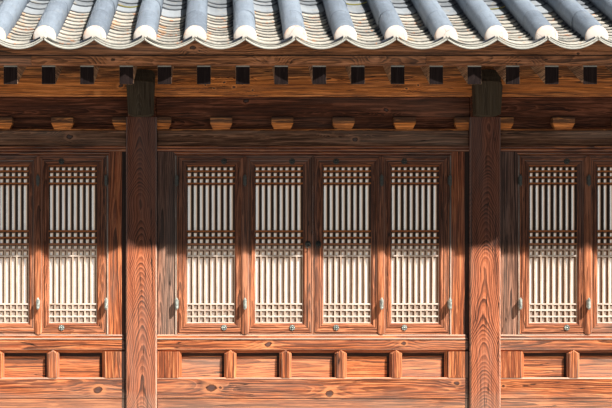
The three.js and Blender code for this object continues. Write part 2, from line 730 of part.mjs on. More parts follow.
// Front bargeboard of one gable, with the short blocks that carry the verge tiles.
function bargeboard(side) {
  const tip = FACE + RAFTER_REACH + BARGE_PAST_RAFTERS;
  const top = (y) => jointLine(y) - BARGE_TOP_DROP;
  const lower = [[tip, BARGE_TIP_BOTTOM], ...BARGE_UNDERSIDE];
  const board = [...lower, ...lower.map(([y]) => [y, top(y)]).reverse()];
  const across = (x0, x1) => (side > 0 ? [x0, x1] : [-x1, -x0]);
  const pieces = [prismX(board, ...across(BARGE_INNER, BARGE_OUTER))];
  for (let i = 0; i < VERGE_BLOCKS; i += 1) {
    const y = tip - VERGE_BLOCK.first - i * (tip - VERGE_BLOCK.span) / (VERGE_BLOCKS - 1);
    const [near, far] = [y - VERGE_BLOCK.long / 2, y + VERGE_BLOCK.long / 2];
    const high = (at) => jointLine(at) + VERGE_BOTTOM - VERGE_BLOCK.below;
    const block = [[near, top(near) - VERGE_BLOCK.lap], [far, top(far) - VERGE_BLOCK.lap],
      [far, high(far)], [near, high(near)]];
    pieces.push(prismX(block, ...across(BARGE_INNER, BARGE_OUTER + VERGE_BLOCK.reach)));
  }
  return join(...pieces);
}

// The assembly.

const house = new THREE.Group();

function add(name, geometry, colour) {
  const [color, roughness] = COLOURS[colour];
  const material = new THREE.MeshStandardMaterial({ color, roughness, metalness: 0 });
  const mesh = new THREE.Mesh(geometry, material);
  mesh.name = name;
  house.add(mesh);
  return mesh;
}

add('stone_platform', stonePlatform(), 'stone');
add('floor', floor(), 'timber');

for (const [name, side] of [['front', -1], ['back', 1]]) {
  for (let i = 0; i <= BAYS; i += 1) {
    const mesh = add(`post_${name}_${i + 1}`, post(), 'timber');
    mesh.position.set(i * BAY - HALF_LENGTH, side * HALF_DEPTH, 0);
  }
  const facing = (geometry) => (side < 0 ? geometry : mirrorY(geometry));
  for (let i = 0; i < BAYS; i += 1) {
    const x = (i - (BAYS - 1) / 2) * BAY;
    const bay = `${name}_${i + 1}`;
    add(`window_frame_${bay}`, facing(windowFrame()), 'timber').position.x = x;
    add(`tie_beam_${bay}`, facing(tieBeam()), 'dark_timber').position.x = x;
    add(`leaf_pair_${bay}_left`, facing(leafRow(0, 1)), 'paper').position.x = x;
    add(`leaf_pair_${bay}_right`, facing(leafRow(2, 3)), 'paper').position.x = x;
  }
}

for (let i = 0; i <= BAYS; i += 1) {
  const inner = i > 0 && i < BAYS;
  add(`beam_${i + 1}`, beam(i * BAY - HALF_LENGTH, inner), 'dark_timber');
}

add('purlin_front', eavePurlin(), 'timber');
add('purlin_back', mirrorY(eavePurlin()), 'timber');
add('purlin_ridge', ridgePurlin(), 'timber');

for (const [name, side] of [['left', -1], ['right', 1]]) {
  const wall = side > 0 ? gableWall() : mirrorX(gableWall());
  add(`gable_wall_${name}`, wall, 'plaster').position.x = side * HALF_LENGTH;
  add(`gable_panel_${name}`, gablePanel(), 'plaster').position.x = side * HALF_LENGTH;
  add(`bargeboard_front_${name}`, bargeboard(side), 'timber');
  add(`bargeboard_back_${name}`, mirrorY(bargeboard(side)), 'timber');
}

add('rafters_front', roofTimbers(), 'dark_timber');
add('rafters_back', mirrorY(roofTimbers()), 'dark_timber');
add('tiles_front', tileSlope(), 'tile');
add('tiles_back', mirrorY(tileSlope()), 'tile');
add('ridges', ridges(), 'tile');

export default house;
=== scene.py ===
"""The looks of a three-bay timber house with a gabled tile roof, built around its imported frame."""
import math
from itertools import pairwise, product

import bpy
import numpy as np
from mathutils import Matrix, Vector


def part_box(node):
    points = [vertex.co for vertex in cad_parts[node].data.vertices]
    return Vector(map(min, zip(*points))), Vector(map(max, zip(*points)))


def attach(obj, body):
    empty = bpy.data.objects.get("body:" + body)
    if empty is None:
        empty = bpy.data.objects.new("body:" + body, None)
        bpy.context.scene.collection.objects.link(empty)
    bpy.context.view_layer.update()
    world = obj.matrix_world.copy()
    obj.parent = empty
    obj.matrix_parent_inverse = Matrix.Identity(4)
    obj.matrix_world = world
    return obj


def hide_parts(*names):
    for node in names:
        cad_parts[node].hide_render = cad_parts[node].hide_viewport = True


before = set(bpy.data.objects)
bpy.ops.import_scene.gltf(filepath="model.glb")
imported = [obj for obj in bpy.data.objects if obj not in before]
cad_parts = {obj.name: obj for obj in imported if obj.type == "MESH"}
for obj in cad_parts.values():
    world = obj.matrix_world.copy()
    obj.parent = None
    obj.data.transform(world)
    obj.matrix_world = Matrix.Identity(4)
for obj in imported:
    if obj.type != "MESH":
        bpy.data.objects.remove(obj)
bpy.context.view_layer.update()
dice = np.random.default_rng(1818)

# Sizes that the frame gives, in metres.
POST_LOW, POST_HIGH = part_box("post_front_2")
POST = POST_HIGH.x - POST_LOW.x
FACE = -POST_LOW.y
HALF_DEPTH = FACE - POST / 2
STONE_TOP = POST_LOW.z
POST_TOP = POST_HIGH.z
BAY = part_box("post_front_3")[0].x - POST_LOW.x
HALF_BAY = (BAY - POST) / 2
HALF_LENGTH = 1.5 * BAY
PLATFORM_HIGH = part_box("stone_platform")[1]
BARGE_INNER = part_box("bargeboard_front_right")[0].x
ROOF_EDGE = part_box("tiles_front")[1].x
EAVE = -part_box("tiles_front")[0].y
PURLIN_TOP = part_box("purlin_front")[1].z
RIDGE_PURLIN_LOW, RIDGE_PURLIN_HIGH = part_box("purlin_ridge")
FLOOR_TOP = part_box("floor")[1].z

# Heights of the wall's timbers, in metres.
PLATFORM_TOP = 0.150
LOW_RAIL_TOP = 0.557
HIGH_RAIL_LOW = 0.730
HIGH_RAIL_TOP = 0.860
HEAD_LOW = 2.128
HEAD_TOP = 2.191
TIE_TOP = 2.304
BLOCK_TOP = 2.403
BEARER_TOP = 2.544
BEAM_TOP = 2.730

# Widths and depths of the wall's timbers. Depths count inward from the posts' faces.
SILL_DEPTH = 0.020
RAIL_DEPTH = 0.018
RAIL_BACK = 0.130
STUD_DEPTH = 0.016
PANEL_DEPTH = 0.053
PANEL_WIDTH = 0.303
PANEL_STUD = 0.087
PANELS = 5
JAMB = 0.1375
JAMB_DEPTH = 0.030
TIE_DEPTH = 0.034
BEARER_DEPTH = 0.049
BEARER_BACK = 0.169
BLOCK_DEPTH = 0.0315
BLOCK_BACK = 0.1865
FILLER_DEPTH = 0.097
BEAM_HALF = 0.0985
KING_HALF = 0.09

# Leaves and their lattice.
LEAF = 0.479
LEAF_GAP = 0.003
STILE = 0.0705
TOP_RAIL = 0.068
LOW_RAIL = 0.078
CELLS = 8
BAR_FRONT = 0.0465
PAPER_DEPTH = 0.0625
BAR_HEIGHTS = [2.018, 1.975, 1.931, 1.593, 1.547, 1.501, 1.462, 1.416, 1.075, 1.032, 0.987]
HINGE_HEIGHTS = [1.080, 1.950]

# Roof.
RAFTER_SLOPE = 0.45
RAFTER_WIDTH = 0.092
RAFTER_HEIGHT = 0.125
RAFTER_PITCH = BAY / 9.5
RAFTERS_EACH_SIDE = 16
RAFTER_TIP = 2.464
RAFTERS_END = RAFTERS_EACH_SIDE * RAFTER_PITCH + RAFTER_WIDTH / 2
JOINT_AT_EAVE = 2.835
EAVE_SLOPE = 0.46
RIDGE_SLOPE = 0.54
RIB_PITCH = 0.328
RIBS_EACH_SIDE = 13
RIB_RADIUS = 0.074
RIB_RISE = 0.026
CHANNEL_DROP = 0.061
COURSES = [0.074] * 10 + [0.165] + [0.108] * 18
DARKER_COURSES = 11
RIDGE_END = 4.174

WALLS = ((-1, "front"), (1, "back"))
ENDS = ((-1, "left"), (1, "right"))
X, Y, Z = 0, 1, 2
CROSS_AXES = {X: (Y, Z), Y: (X, Z), Z: (X, Y)}


# Meshes.

class Mesh:
    """Points and faces of one piece. Each point keeps its place in its timber's log, and a tone.
    place: the matrix that takes what is added from local to world coordinates."""

    def __init__(self, place=None):
        self.place = place
        self.points = []
        self.grain = []
        self.tone = []
        self.faces = []
        self.finish = []
        self.count = 0

    def add(self, points, faces, grain=None, tone=0.5, finish=0):
        points = np.asarray(points, float)
        grain = points if grain is None else grain
        if self.place is not None:
            turn = self.place[:, :3]
            points = points @ turn.T + self.place[:, 3]
            if np.linalg.det(turn) < 0:
                faces = [face[::-1] for face in faces]
        self.points.append(points)
        self.grain.append(np.asarray(grain, float))
        self.tone.append(np.broadcast_to(np.asarray(tone, float), len(points)))
        self.faces.extend(tuple(int(i) + self.count for i in face) for face in faces)
        self.finish.extend([finish] * len(faces))
        self.count += len(points)

    def build(self, name, materials, slot, replaces=(), smooth=None):
        data = bpy.data.meshes.new(name)
        data.from_pydata(np.concatenate(self.points).tolist(), [], self.faces)
        for key, kind, field, values in (("grain", "FLOAT_VECTOR", "vector", self.grain),
                                         ("tone", "FLOAT", "value", self.tone)):
            layer = data.attributes.new(key, kind, "POINT")
            layer.data.foreach_set(field, np.concatenate(values).astype(np.float32).ravel())
        for material in materials:
            data.materials.append(material)
        data.polygons.foreach_set("material_index", self.finish)
        if smooth is not None:
            data.polygons.foreach_set("use_smooth", [True] * len(self.faces))
            data.set_sharp_from_angle(angle=math.radians(smooth))
        data.update()
        piece = linked(name, data)
        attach(piece, "root")
        if replaces:
            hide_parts(*replaces)


def linked(name, data):
    """An object with the data, in the scene."""
    thing = bpy.data.objects.new(name, data)
    bpy.context.scene.collection.objects.link(thing)
    return thing


def placing(columns, shift=(0, 0, 0)):
    """A 3 by 4 matrix from the directions of the local axes and the place of the local origin."""
    return np.column_stack([*map(np.array, columns), shift]).astype(float)


def wall_place(x, side):
    """Local (x, depth, z) on the front wall (side -1) or the back wall (side 1)."""
    return placing([(1, 0, 0), (0, -side, 0), (0, 0, 1)], (x, side * FACE, 0))


def gable_place(side):
    """Local (y, depth, z) on the left gable (side -1) or the right gable (side 1)."""
    return placing([(0, 1, 0), (-side, 0, 0), (0, 0, 1)], (side * (HALF_LENGTH + POST / 2), 0, 0))


def slope_place(side):
    """Local (x, distance from the middle line, z) on the front slope (-1) or the back one (1)."""
    return placing([(1, 0, 0), (0, side, 0), (0, 0, 1)])


def log_place(points, axis, heart, face_axis=Y):
    """Where a timber's points lie in its log: X along the log, and the heart off the timber's middle."""
    across = CROSS_AXES[axis]
    middle = (points.min(0) + points.max(0)) / 2
    shift = dice.uniform(-0.55, 0.55, 2) * heart
    if face_axis in across:
        shift[across.index(face_axis)] = heart * dice.uniform(0.7, 1.3)
    local = points - middle
    return np.column_stack([points[:, axis] + dice.uniform(0, 60), local[:, across] + shift])


def eased_box():
    """Of a box with eased edges: the signs of its 24 points, the axis each is flush on, and the faces.
    Its two sides across X come first."""
    points = [(corner, axis) for corner in product((-1, 1), repeat=3) for axis in range(3)]
    signs = np.array([corner for corner, _ in points])
    flush = np.array([np.eye(3)[axis] for _, axis in points])
    places = signs * (0.8 + 0.2 * flush)
    faces = []
    for facing in sorted(product((-1, 0, 1), repeat=3), key=lambda facing: any(facing[1:])):
        if not any(facing):
            continue
        facing = np.array(facing)
        on = [i for i, (corner, axis) in enumerate(points)
              if facing[axis] and np.all((facing == 0) | (facing == corner))]
        spokes = places[on] - places[on].mean(0)
        angles = np.arctan2(spokes @ np.cross(facing, spokes[0]), spokes @ spokes[0])
        faces.append(tuple(on[i] for i in np.argsort(angles)))
    return signs, flush, faces


SIGNS, FLUSH, EASED_FACES = eased_box()
SIDE_FACES = 2


def board(mesh, one, other, axis, ease=0.003, heart=0.10, tone=None, finish=0, face_axis=Y, front=None):
    """A timber between two corners, its grain along the axis, with eased edges.
    front: another finish for all but its two sides across X."""
    low, high = np.sort([one, other], axis=0)
    points = (low + high) / 2 + SIGNS * ((high - low) / 2 - ease * (1 - FLUSH))
    tone = dice.uniform(0.25, 0.75) if tone is None else tone
    mesh.add(points, EASED_FACES, log_place(points, axis, heart, face_axis), tone, finish)
    if front is not None:
        count = len(EASED_FACES) - SIDE_FACES
        mesh.finish[-count:] = [front] * count


def loft(rings, caps=(True, True)):
    """Points and faces of a form through rings of points, facing out. caps: whether the ends are closed."""
    rows, count = len(rings), len(rings[0])
    points = np.array(rings, float).reshape(-1, 3)
    faces = [(row + i, row + (i + 1) % count, row + count + (i + 1) % count, row + count + i)
             for row in range(0, (rows - 1) * count, count) for i in range(count)]
    a, b, c, d = np.moveaxis(points[faces] - points.mean(0), 1, 0)
    outward = np.sum(np.cross(c - a, d - b) * (a + b + c + d)) > 0
    if caps[0]:
        faces.append(tuple(range(count))[::-1])
    if caps[1]:
        faces.append(tuple(range((rows - 1) * count, rows * count)))
    return points, faces if outward else [face[::-1] for face in faces]


def run(mesh, outline, start, end, axis, heart=0.10, tone=None, finish=0, face_axis=Y, log=None):
    """A timber with one outline all along. Its start and end may be functions of the outline's points.
    A third number of a point is its tone, added to the timber's. log: the axis of the grain."""
    tone = dice.uniform(0.25, 0.75) if tone is None else tone
    shades = [point[2] if len(point) > 2 else 0.0 for point in outline]
    outline = np.array([point[:2] for point in outline], float)
    rings = np.zeros((2, len(outline), 3))
    rings[:, :, CROSS_AXES[axis]] = outline
    for ring, limit in zip(rings, (start, end)):
        ring[:, axis] = [limit(u, v) for u, v in outline] if callable(limit) else limit
    points, faces = loft(rings)
    grain = log_place(points, axis if log is None else log, heart, face_axis)
    mesh.add(points, faces, grain, tone + np.tile(shades, 2), finish)


def circle(sides):
    """Angles round a circle."""
    return 2 * math.pi * np.arange(sides) / sides


def turned(mesh, profile, centre, axis, sides=12, finish=0):
    """A form turned about a local axis. profile: pairs of a place along the axis and a radius."""
    angles = circle(sides)
    rings = np.tile(np.array(centre, float), (len(profile), sides, 1))
    for ring, (along, radius) in zip(rings, profile):
        ring[:, axis] += along
        ring[:, CROSS_AXES[axis]] += radius * np.column_stack([np.cos(angles), np.sin(angles)])
    mesh.add(*loft(rings), finish=finish)


def skin(mesh, grid, tone=0.5, finish=0, flip=False, grain=None):
    """A sheet over a grid of points."""
    grid = np.asarray(grid, float)
    rows, columns = grid.shape[:2]
    corners = (0, 1, columns + 1, columns)[::-1 if flip else 1]
    faces = [[i * columns + j + corner for corner in corners] for i in range(rows - 1)
             for j in range(columns - 1)]
    tone = np.broadcast_to(tone, (rows, columns)).ravel()
    mesh.add(grid.reshape(-1, 3), faces, grain, tone, finish)


def sheet_of(across, up, depth):
    """A grid of points (across, depth, up) on a wall."""
    sheet = np.zeros((len(up), len(across), 3))
    sheet[:, :, 0] = across
    sheet[:, :, 1] = depth
    sheet[:, :, 2] = np.array(up)[:, None]
    return sheet


def lengths(low, high, step, shift=0.0):
    """The ends of each piece in a row from low to high; the first piece is as short as the shift."""
    cuts = np.arange(low + (shift or step), high - step / 4, step)
    return list(pairwise([low, *cuts, high]))


def uneven(low, high, shortest, longest, least):
    """The ends of pieces of random lengths from low to high. The last one is at least as long as least."""
    edge = low
    while edge < high - 0.01:
        end = edge + dice.uniform(shortest, longest)
        end = high if end > high - least else end
        yield edge, end
        edge = end


def moulded_frame(mesh, low, high, widths, profile):
    """A mitred frame between two corners (x, z). widths: stile, low rail, top rail.
    profile: a share of the width, from the outer edge, a depth and a tone."""
    stile, low_rail, top_rail = widths
    tone = dice.uniform(0.3, 0.7)

    def ring(right, top):
        return [(high[0] - u * stile if right else low[0] + u * stile, depth,
                 high[1] - u * top_rail if top else low[1] + u * low_rail) for u, depth, _ in profile]

    shades = np.tile([shade for _, _, shade in profile], 2)
    corners = ((0, 0), (1, 0), (1, 1), (0, 1), (0, 0))
    for (start, end), axis, lit in zip(pairwise(corners), (X, Z, X, Z), (-0.05, -0.05, 0.35, -0.05)):
        points, faces = loft([ring(*start), ring(*end)], (False, False))
        grain = log_place(points, axis, 0.09)
        mesh.add(points, faces, grain, tone + dice.uniform(-0.1, 0.1) + lit + shades)


# Shaders.

class Value:
    """An output socket. Arithmetic with it adds the maths nodes, and [] gives its node's other outputs."""

    def __init__(self, shader, socket):
        self.shader = shader
        self.socket = socket

    def __getitem__(self, key):
        return Value(self.shader, self.socket.node.outputs[key])

    def joined(self, operation, other=None, output=0):
        kind = "Math" if self.socket.type == "VALUE" else "VectorMath"
        return self.shader.node(kind, {0: self, 1: other}, output, operation=operation)

    def __add__(self, other):
        return self.joined("ADD", other)

    def __sub__(self, other):
        return self.joined("SUBTRACT", other)

    def __mul__(self, other):
        return self.joined("MULTIPLY", other)

    def __truediv__(self, other):
        return self.joined("DIVIDE", other)

    def length(self):
        return self.joined("LENGTH", output="Value")


class Shader:
    """A material's nodes, written as calls that give back output sockets."""

    def __init__(self, name):
        self.material = bpy.data.materials.new(name)
        self.material.use_nodes = True
        self.tree = self.material.node_tree
        self.tree.nodes.clear()

    def node(self, kind, inputs=(), output=0, **settings):
        node = self.tree.nodes.new("ShaderNode" + kind)
        for key, value in settings.items():
            setattr(node, key, value)
        for key, value in dict(inputs).items():
            socket = node.inputs[key]
            if isinstance(value, Value):
                self.tree.links.new(value.socket, socket)
            elif value is not None:
                socket.default_value = (*value, 1.0) if socket.type == "RGBA" else value
        return Value(self, node.outputs[output]) if node.outputs else node

    def attribute(self, name, output="Fac"):
        return self.node("Attribute", output=output, attribute_name=name)

    def place(self):
        return self.node("NewGeometry", output="Position")

    def noise(self, vector, scale, detail=3.0, roughness=0.55, output="Fac"):
        """Noise at one scale, or stretched by a scale for each axis."""
        if isinstance(scale, tuple):
            vector, scale = vector * scale, 1.0
        inputs = {"Vector": vector, "Scale": scale, "Detail": detail, "Roughness": roughness}
        return self.node("TexNoise", inputs, output)

    def mix(self, factor, a, b, blend="MIX"):
        return self.node("Mix", {0: factor, 6: a, 7: b}, 2, data_type="RGBA", blend_type=blend)

    def layers(self, colour, *layers):
        """The colour under layers, each a share and a colour."""
        for share, layer in layers:
            colour = self.mix(share, colour, layer)
        return colour

    def span(self, value, low, high, to_low=0.0, to_high=1.0):
        inputs = {0: value, 1: low, 2: high, 3: to_low, 4: to_high}
        return self.node("MapRange", inputs, interpolation_type="SMOOTHSTEP")

    def most(self, a, b):
        return self.node("Math", {0: a, 1: b}, operation="MAXIMUM")

    def finish(self, colour, roughness, height=None, depth=None, **values):
        """The material's surface. height, depth: its relief, and how deep that is."""
        normal = height and self.node("Bump", {"Height": height, "Distance": depth})
        inputs = {"Base Color": colour, "Roughness": roughness, "Normal": normal}
        inputs.update({key.replace("_", " "): value for key, value in values.items()})
        surface = self.node("BsdfPrincipled", inputs)
        self.node("OutputMaterial", {0: surface})
        return self.material


HALF = (0.5, 0.5, 0.5)


def toned(colour, factor, lift=0.0):
    """A darker or paler version of a colour."""
    return tuple(min(1.0, factor * value + lift) for value in colour)


def wood(name, light, deep, line, grey=0.2, rings=230.0, strength=0.95, depth=0.0012, gloss=0.3,
         painted_eave_shade=0.0, lined=1.0, knots=(), splash=0.0, tint=(0.135, 0.160, 0.215), arches=0.0, checks=0.9):
    """Weathered pine: rings about the log's heart, knots that they flow round, fibres and checks.
    A tone under 0 darkens towards near-black: painted shade in grooves, under rails and where a neighbour's
    shadow falls. One over 1 pales towards cream: a worn edge, on upper edges and beads also a painted
    highlight.
    painted_eave_shade: how far the wall's upper part, above the line of the eave's shadow, is darkened:
    painted shade of that shadow over some old stain.
    tint: the colour that this painted shade multiplies the colour by.
    lined: how strongly the straight lines of the grain show beside the rings.
    knots: large ones on the front wall, each (x, depth behind the posts' faces, z, radius).
    splash: how grey the rain that splashes up has turned the wall's foot.
    arches: how far the log swells and thins along its length, which draws nested arches on its faces.
    checks: how dark the short drying cracks are."""
    s = Shader(name)
    grain = s.attribute("grain", "Vector")
    tone = s.attribute("tone")
    place = s.place()
    along = s.node("SeparateXYZ", {0: grain})
    height = s.node("SeparateXYZ", {0: place})[2]
    cross = grain * (0, 1, 1)
    for scale, reach in (((0.55, 1.1, 1.1), 0.110), ((2.6, 9, 9), 0.017), ((12, 45, 45), 0.0034)):
        cross += (s.noise(grain, scale, 2.0, output="Color") - HALF) * (0, reach, reach)

    # Small knots at random: flow is how the rings bend round one, eye its dark middle, halo the pale rim.
    cells = grain * (1.5, 5, 5)
    cell = s.node("TexVoronoi", {"Vector": cells, "Scale": 1.0}, "Color")
    chance = s.node("SeparateColor", {0: cell})
    present = s.span(chance, 0.55, 0.57)
    away = cells - cell["Position"]
    near = (away * (0.4 / 1.5, 0.2, 0.2)).length()
    close = (away * (0.8 / 1.5, 0.2, 0.2)).length() / (chance[1] * 0.010 + 0.006)
    flow = s.span(near, 0.065, 0.0) * present
    eye = s.span(close, 1.15, 0.9) * present
    halo = s.span(close, 2.6, 1.3) * present
    core = 0.0
    if knots:
        place_of_knots = place + (s.noise(place, (16, 16, 16), 3.0, 0.6, "Color") - HALF) * (0.034, 0, 0.034)
    for x, inward, z, size in knots:
        offset = place_of_knots - (x, inward - FACE, z)
        near = (offset * (0.45, 1, 1)).length()
        close = (offset * (0.75, 1, 1)).length()
        flow = s.most(flow, s.span(near, 0.045 + 2 * size, 0.0))
        eye = s.most(eye, s.span(close, 1.1 * size, 0.95 * size))
        core = s.most(core, s.span(close, 0.80 * size, 0.60 * size))
        halo = s.most(halo, s.span(close, 2.4 * size, 1.3 * size))

    # The years' rings, each with dark late wood, and the finer lines.
    radius = cross.length() + flow * 0.020
    if arches:
        radius += (s.noise(grain, (1.15, 0, 0), 2.0, 0.5) + along * 0.55) * arches
    years = (radius + along * 0.014) * rings
    ring = years.joined("FRACT")
    dark_year = s.node("TexWhiteNoise", {"W": years.joined("FLOOR")}, "Value", noise_dimensions="1D")
    late = s.span(ring, 0.30, 0.80) * s.span(ring, 1.0, 0.93) * s.span(dark_year, 0.0, 1.0, 0.45, 1.0)
    season = s.span((years * 3.4).joined("FRACT"), 0.4, 0.9)
    streak = s.noise(grain, (0.9, 20, 20), 4.0, 0.6)
    fibre = s.noise(grain, (6, 190, 190), 3.0, 0.65)
    lines = s.noise(cross * (1, 80, 80) + grain * (2.2, 0, 0), 1.0, 3.0, 0.65)
    cloud = s.noise(grain, (1.1, 5, 5), 3.0, 0.6)
    worn = s.noise(grain + (5, 3, 1), (0.7, 6, 6), 4.0, 0.6)
    thin = s.span((s.noise(grain, (1.2, 48, 48), 1.0) - 0.5).joined("ABSOLUTE"), 0.012, 0.005)
    check = thin * s.span(s.noise(grain, (1.0, 8, 8)), 0.50, 0.57)

    # Colours, from the timber's own to what has settled on it.
    blend = tone + (streak - 0.5) * 1.8 + (cloud - 0.5) * 1.2
    pale = toned(light, 1.45, 0.06 * min(1.0, max(light) / 0.4))
    colour = s.layers(
        s.mix(s.span(blend, -0.1, 1.1), deep, light),
        (s.span(ring, 0.35, 0.05, 0, 0.35), pale),
        (season * (0.25 * strength), line),
        (late * strength, line),
        (s.span(fibre, 0.50, 0.75, 0, 0.5), line),
        (s.span(lines, 0.49, 0.64, 0, 0.75 * lined), line),
        (s.span(lines, 0.47, 0.36, 0, 0.6 * lined), pale),
        (s.span(fibre, 0.46, 0.25, 0, 0.3), pale),
        (s.span(worn, 0.44, 0.70, 0, grey), (0.30, 0.235, 0.19)),
        (halo * 0.40, pale),
        (eye * s.span(fibre, 0.30, 0.55, 0.55, 0.95), toned(line, 0.5)))
    if knots:
        heartwood = s.mix(s.span(fibre, 0.3, 0.7), (0.045, 0.038, 0.040),
                          s.mix(0.7, deep, (0.13, 0.115, 0.12)))
        colour = s.mix(core * 0.65, colour, heartwood)
    colour = s.layers(
        colour,
        (check * checks, (0.018, 0.011, 0.008)),
        (s.span(tone, 0.9, 2.0, 0, 0.85), (0.70, 0.55, 0.43)),
        (s.span(tone, 0.1, -1.0, 0, 0.92), (0.016, 0.010, 0.008)))
    if splash:
        wet = height + s.noise(place, (1.6, 1.6, 5), 4.0, 0.6) * -0.22
        colour = s.mix(s.span(wet, 0.36, 0.27, 0, splash), colour, s.mix(0.5, colour, (0.42, 0.29, 0.21)))
    # Painted shade: above the line of the eave's shadow the colour is multiplied by a dark tint, standing in
    # for that shadow over some old stain.
    if painted_eave_shade:
        painted_shade_colour = s.mix(1.0, colour, tint, "MULTIPLY")
        colour = s.mix(s.span(height, 1.425, 1.515, 0, painted_eave_shade), colour, painted_shade_colour)
    relief = fibre * 0.5 - check * 2.2 + late * 0.6 + streak * 0.6
    return s.finish(colour, s.span(streak, 0.2, 0.8, 0.65, 0.9), relief, depth, Specular_IOR_Level=gloss)


def fired_clay(name, light, deep, tint, stain_share, chalk=0.3, drips=0.0):
    """Roof tile: a tone for each tile, mottles, chalky bloom and lichen. A tone under 0 darkens towards dark
    navy: painted shade under lips, in hollows and beside the ribs.
    drips: how strongly rain has streaked it down the slope."""
    s = Shader(name)
    place = s.place()
    tone = s.attribute("tone")
    mottle = s.noise(place, 9.0, 5.0, 0.65)
    grit = s.noise(place, 140.0, 3.0, 0.6)
    bloom = s.noise(place + (7, 3, 1), 26.0, 5.0, 0.7)
    lichen = s.noise(place + (1, 5, 9), 17.0, 4.0, 0.7)
    colour = s.layers(
        s.mix(s.span(tone + (mottle - 0.5) * 1.2, 0.0, 1.0), deep, light),
        (s.span(bloom, 0.50, 0.72, 0, chalk), toned(light, 1.5, 0.02)),
        (s.span(grit, 0.45, 0.8, 0, 0.4), deep))
    if drips:
        run_off = s.noise(place, (75, 5, 5), 4.0, 0.65)
        throwing = s.noise(place, (4, 110, 110), 3.0, 0.6)
        dark = toned(deep, 0.45)
        colour = s.layers(colour, (s.span(run_off, 0.50, 0.70, 0, drips), dark),
                          (s.span(throwing, 0.52, 0.72, 0, drips), dark))
    colour = s.layers(colour, (s.span(lichen, 0.58, 0.64) * stain_share, tint),
                      (s.span(tone, 0.0, -0.8, 0, 0.96), (0.008, 0.013, 0.026)))
    return s.finish(colour, s.span(mottle, 0.3, 0.7, 0.55, 0.8), grit * 0.5 + mottle, 0.002)


def lime(name, base, tint, share):
    """Lime plaster: trowel marks, hairlines, and earth-coloured stains, most on rims of a low tone."""
    s = Shader(name)
    place = s.place()
    cloud = s.noise(place, 2.4, 5.0, 0.6)
    fine = s.noise(place, 60.0, 4.0, 0.6)
    low_tone = (s.attribute("tone") - 0.5).joined("MINIMUM", 0.0)
    spots = s.noise(place + (3, 1, 8), 21.0, 5.0, 0.7) - low_tone * 0.35
    crack = s.node("TexVoronoi", {"Vector": place, "Scale": 5.0}, feature="DISTANCE_TO_EDGE")
    line = s.span(crack, 0.010, 0.002) * s.span(cloud, 0.5, 0.6)
    colour = s.layers(
        s.mix(s.span(cloud, 0.3, 0.75, 0, 0.5), base, s.mix(0.5, base, tint)),
        (s.span(spots, 0.56, 0.72, 0, share), tint),
        (line * 0.5, (0.25, 0.2, 0.16)))
    return s.finish(colour, 0.9, fine * 0.6 - line * 1.5, 0.0012)


def hanji(name):
    """Mulberry paper on the back of the lattice, with faint fibres. It glows faintly in its own colour,
    painted light standing in for daylight coming through.
    A low tone is painted shade and reflection beside the bars and under them: tan where the bars reflect onto
    the paper, near-black against them."""
    s = Shader(name)
    tone = s.attribute("tone")
    place = s.place()
    fibre = s.noise(place, (60, 60, 220), 3.0, 0.7)
    colour = s.layers(
        s.mix(s.span(s.noise(place, 3.0, 4.0, 0.6), 0.3, 0.75), (0.90, 0.885, 0.86), (0.80, 0.775, 0.74)),
        (s.span(fibre, 0.5, 0.8, 0, 0.2), (0.66, 0.62, 0.57)),
        (s.span(tone, 0.5, 0.0), (0.72, 0.54, 0.40)),
        (s.span(tone, 0.0, -0.5), (0.055, 0.020, 0.006)))
    # Painted light: the paper's own emission makes it glow, though no lamp lights it from behind.
    return s.finish(colour, 0.85, fibre, 0.0004, Emission_Color=colour, Emission_Strength=0.30)


def iron(name, deep, bloom):
    """Old iron with a grey-green bloom. On the wall's upper part it has less bloom and is far darker: painted
    shade of the eave's shadow.
    """
    s = Shader(name)
    place = s.place()
    cloud = s.noise(place, 45.0, 5.0, 0.7)
    height = s.node("SeparateXYZ", {0: place})[2]
    # Painted shade: above the line of the eave's shadow the bloom fades and the iron is darkened to a tenth.
    bloom = s.mix(s.span(height, 1.34, 1.60, 0, 0.72), bloom, deep)
    colour = s.mix(s.span(cloud, 0.35, 0.65), deep, bloom)
    eave_shaded_iron = s.mix(1.0, colour, (0.1, 0.1, 0.1), "MULTIPLY")
    colour = s.mix(s.span(height, 1.34, 1.60, 0, 0.9), colour, eave_shaded_iron)
    return s.finish(colour, s.span(cloud, 0.3, 0.7, 0.45, 0.7), cloud, 0.0008, Metallic=0.35)


def granite(name, base):
    """Dressed granite with dark and pale grains and pick marks."""
    s = Shader(name)
    place = s.place()
    grains = s.node("TexVoronoi", {"Vector": place, "Scale": 260.0}, "Color")
    grey = s.node("SeparateColor", {0: grains})
    cloud = s.noise(place, 3.5, 5.0, 0.65)
    colour = s.layers(
        s.mix(s.span(s.attribute("tone") + (cloud - 0.5), 0.1, 0.9), toned(base, 0.62), base),
        (s.span(grey, 0.80, 0.9, 0, 0.6), (0.06, 0.057, 0.054)),
        (s.span(grey, 0.2, 0.1, 0, 0.5), (0.44, 0.41, 0.38)))
    return s.finish(colour, 0.85, s.noise(place, 48.0, 3.0, 0.7) + grey * 0.2, 0.004)


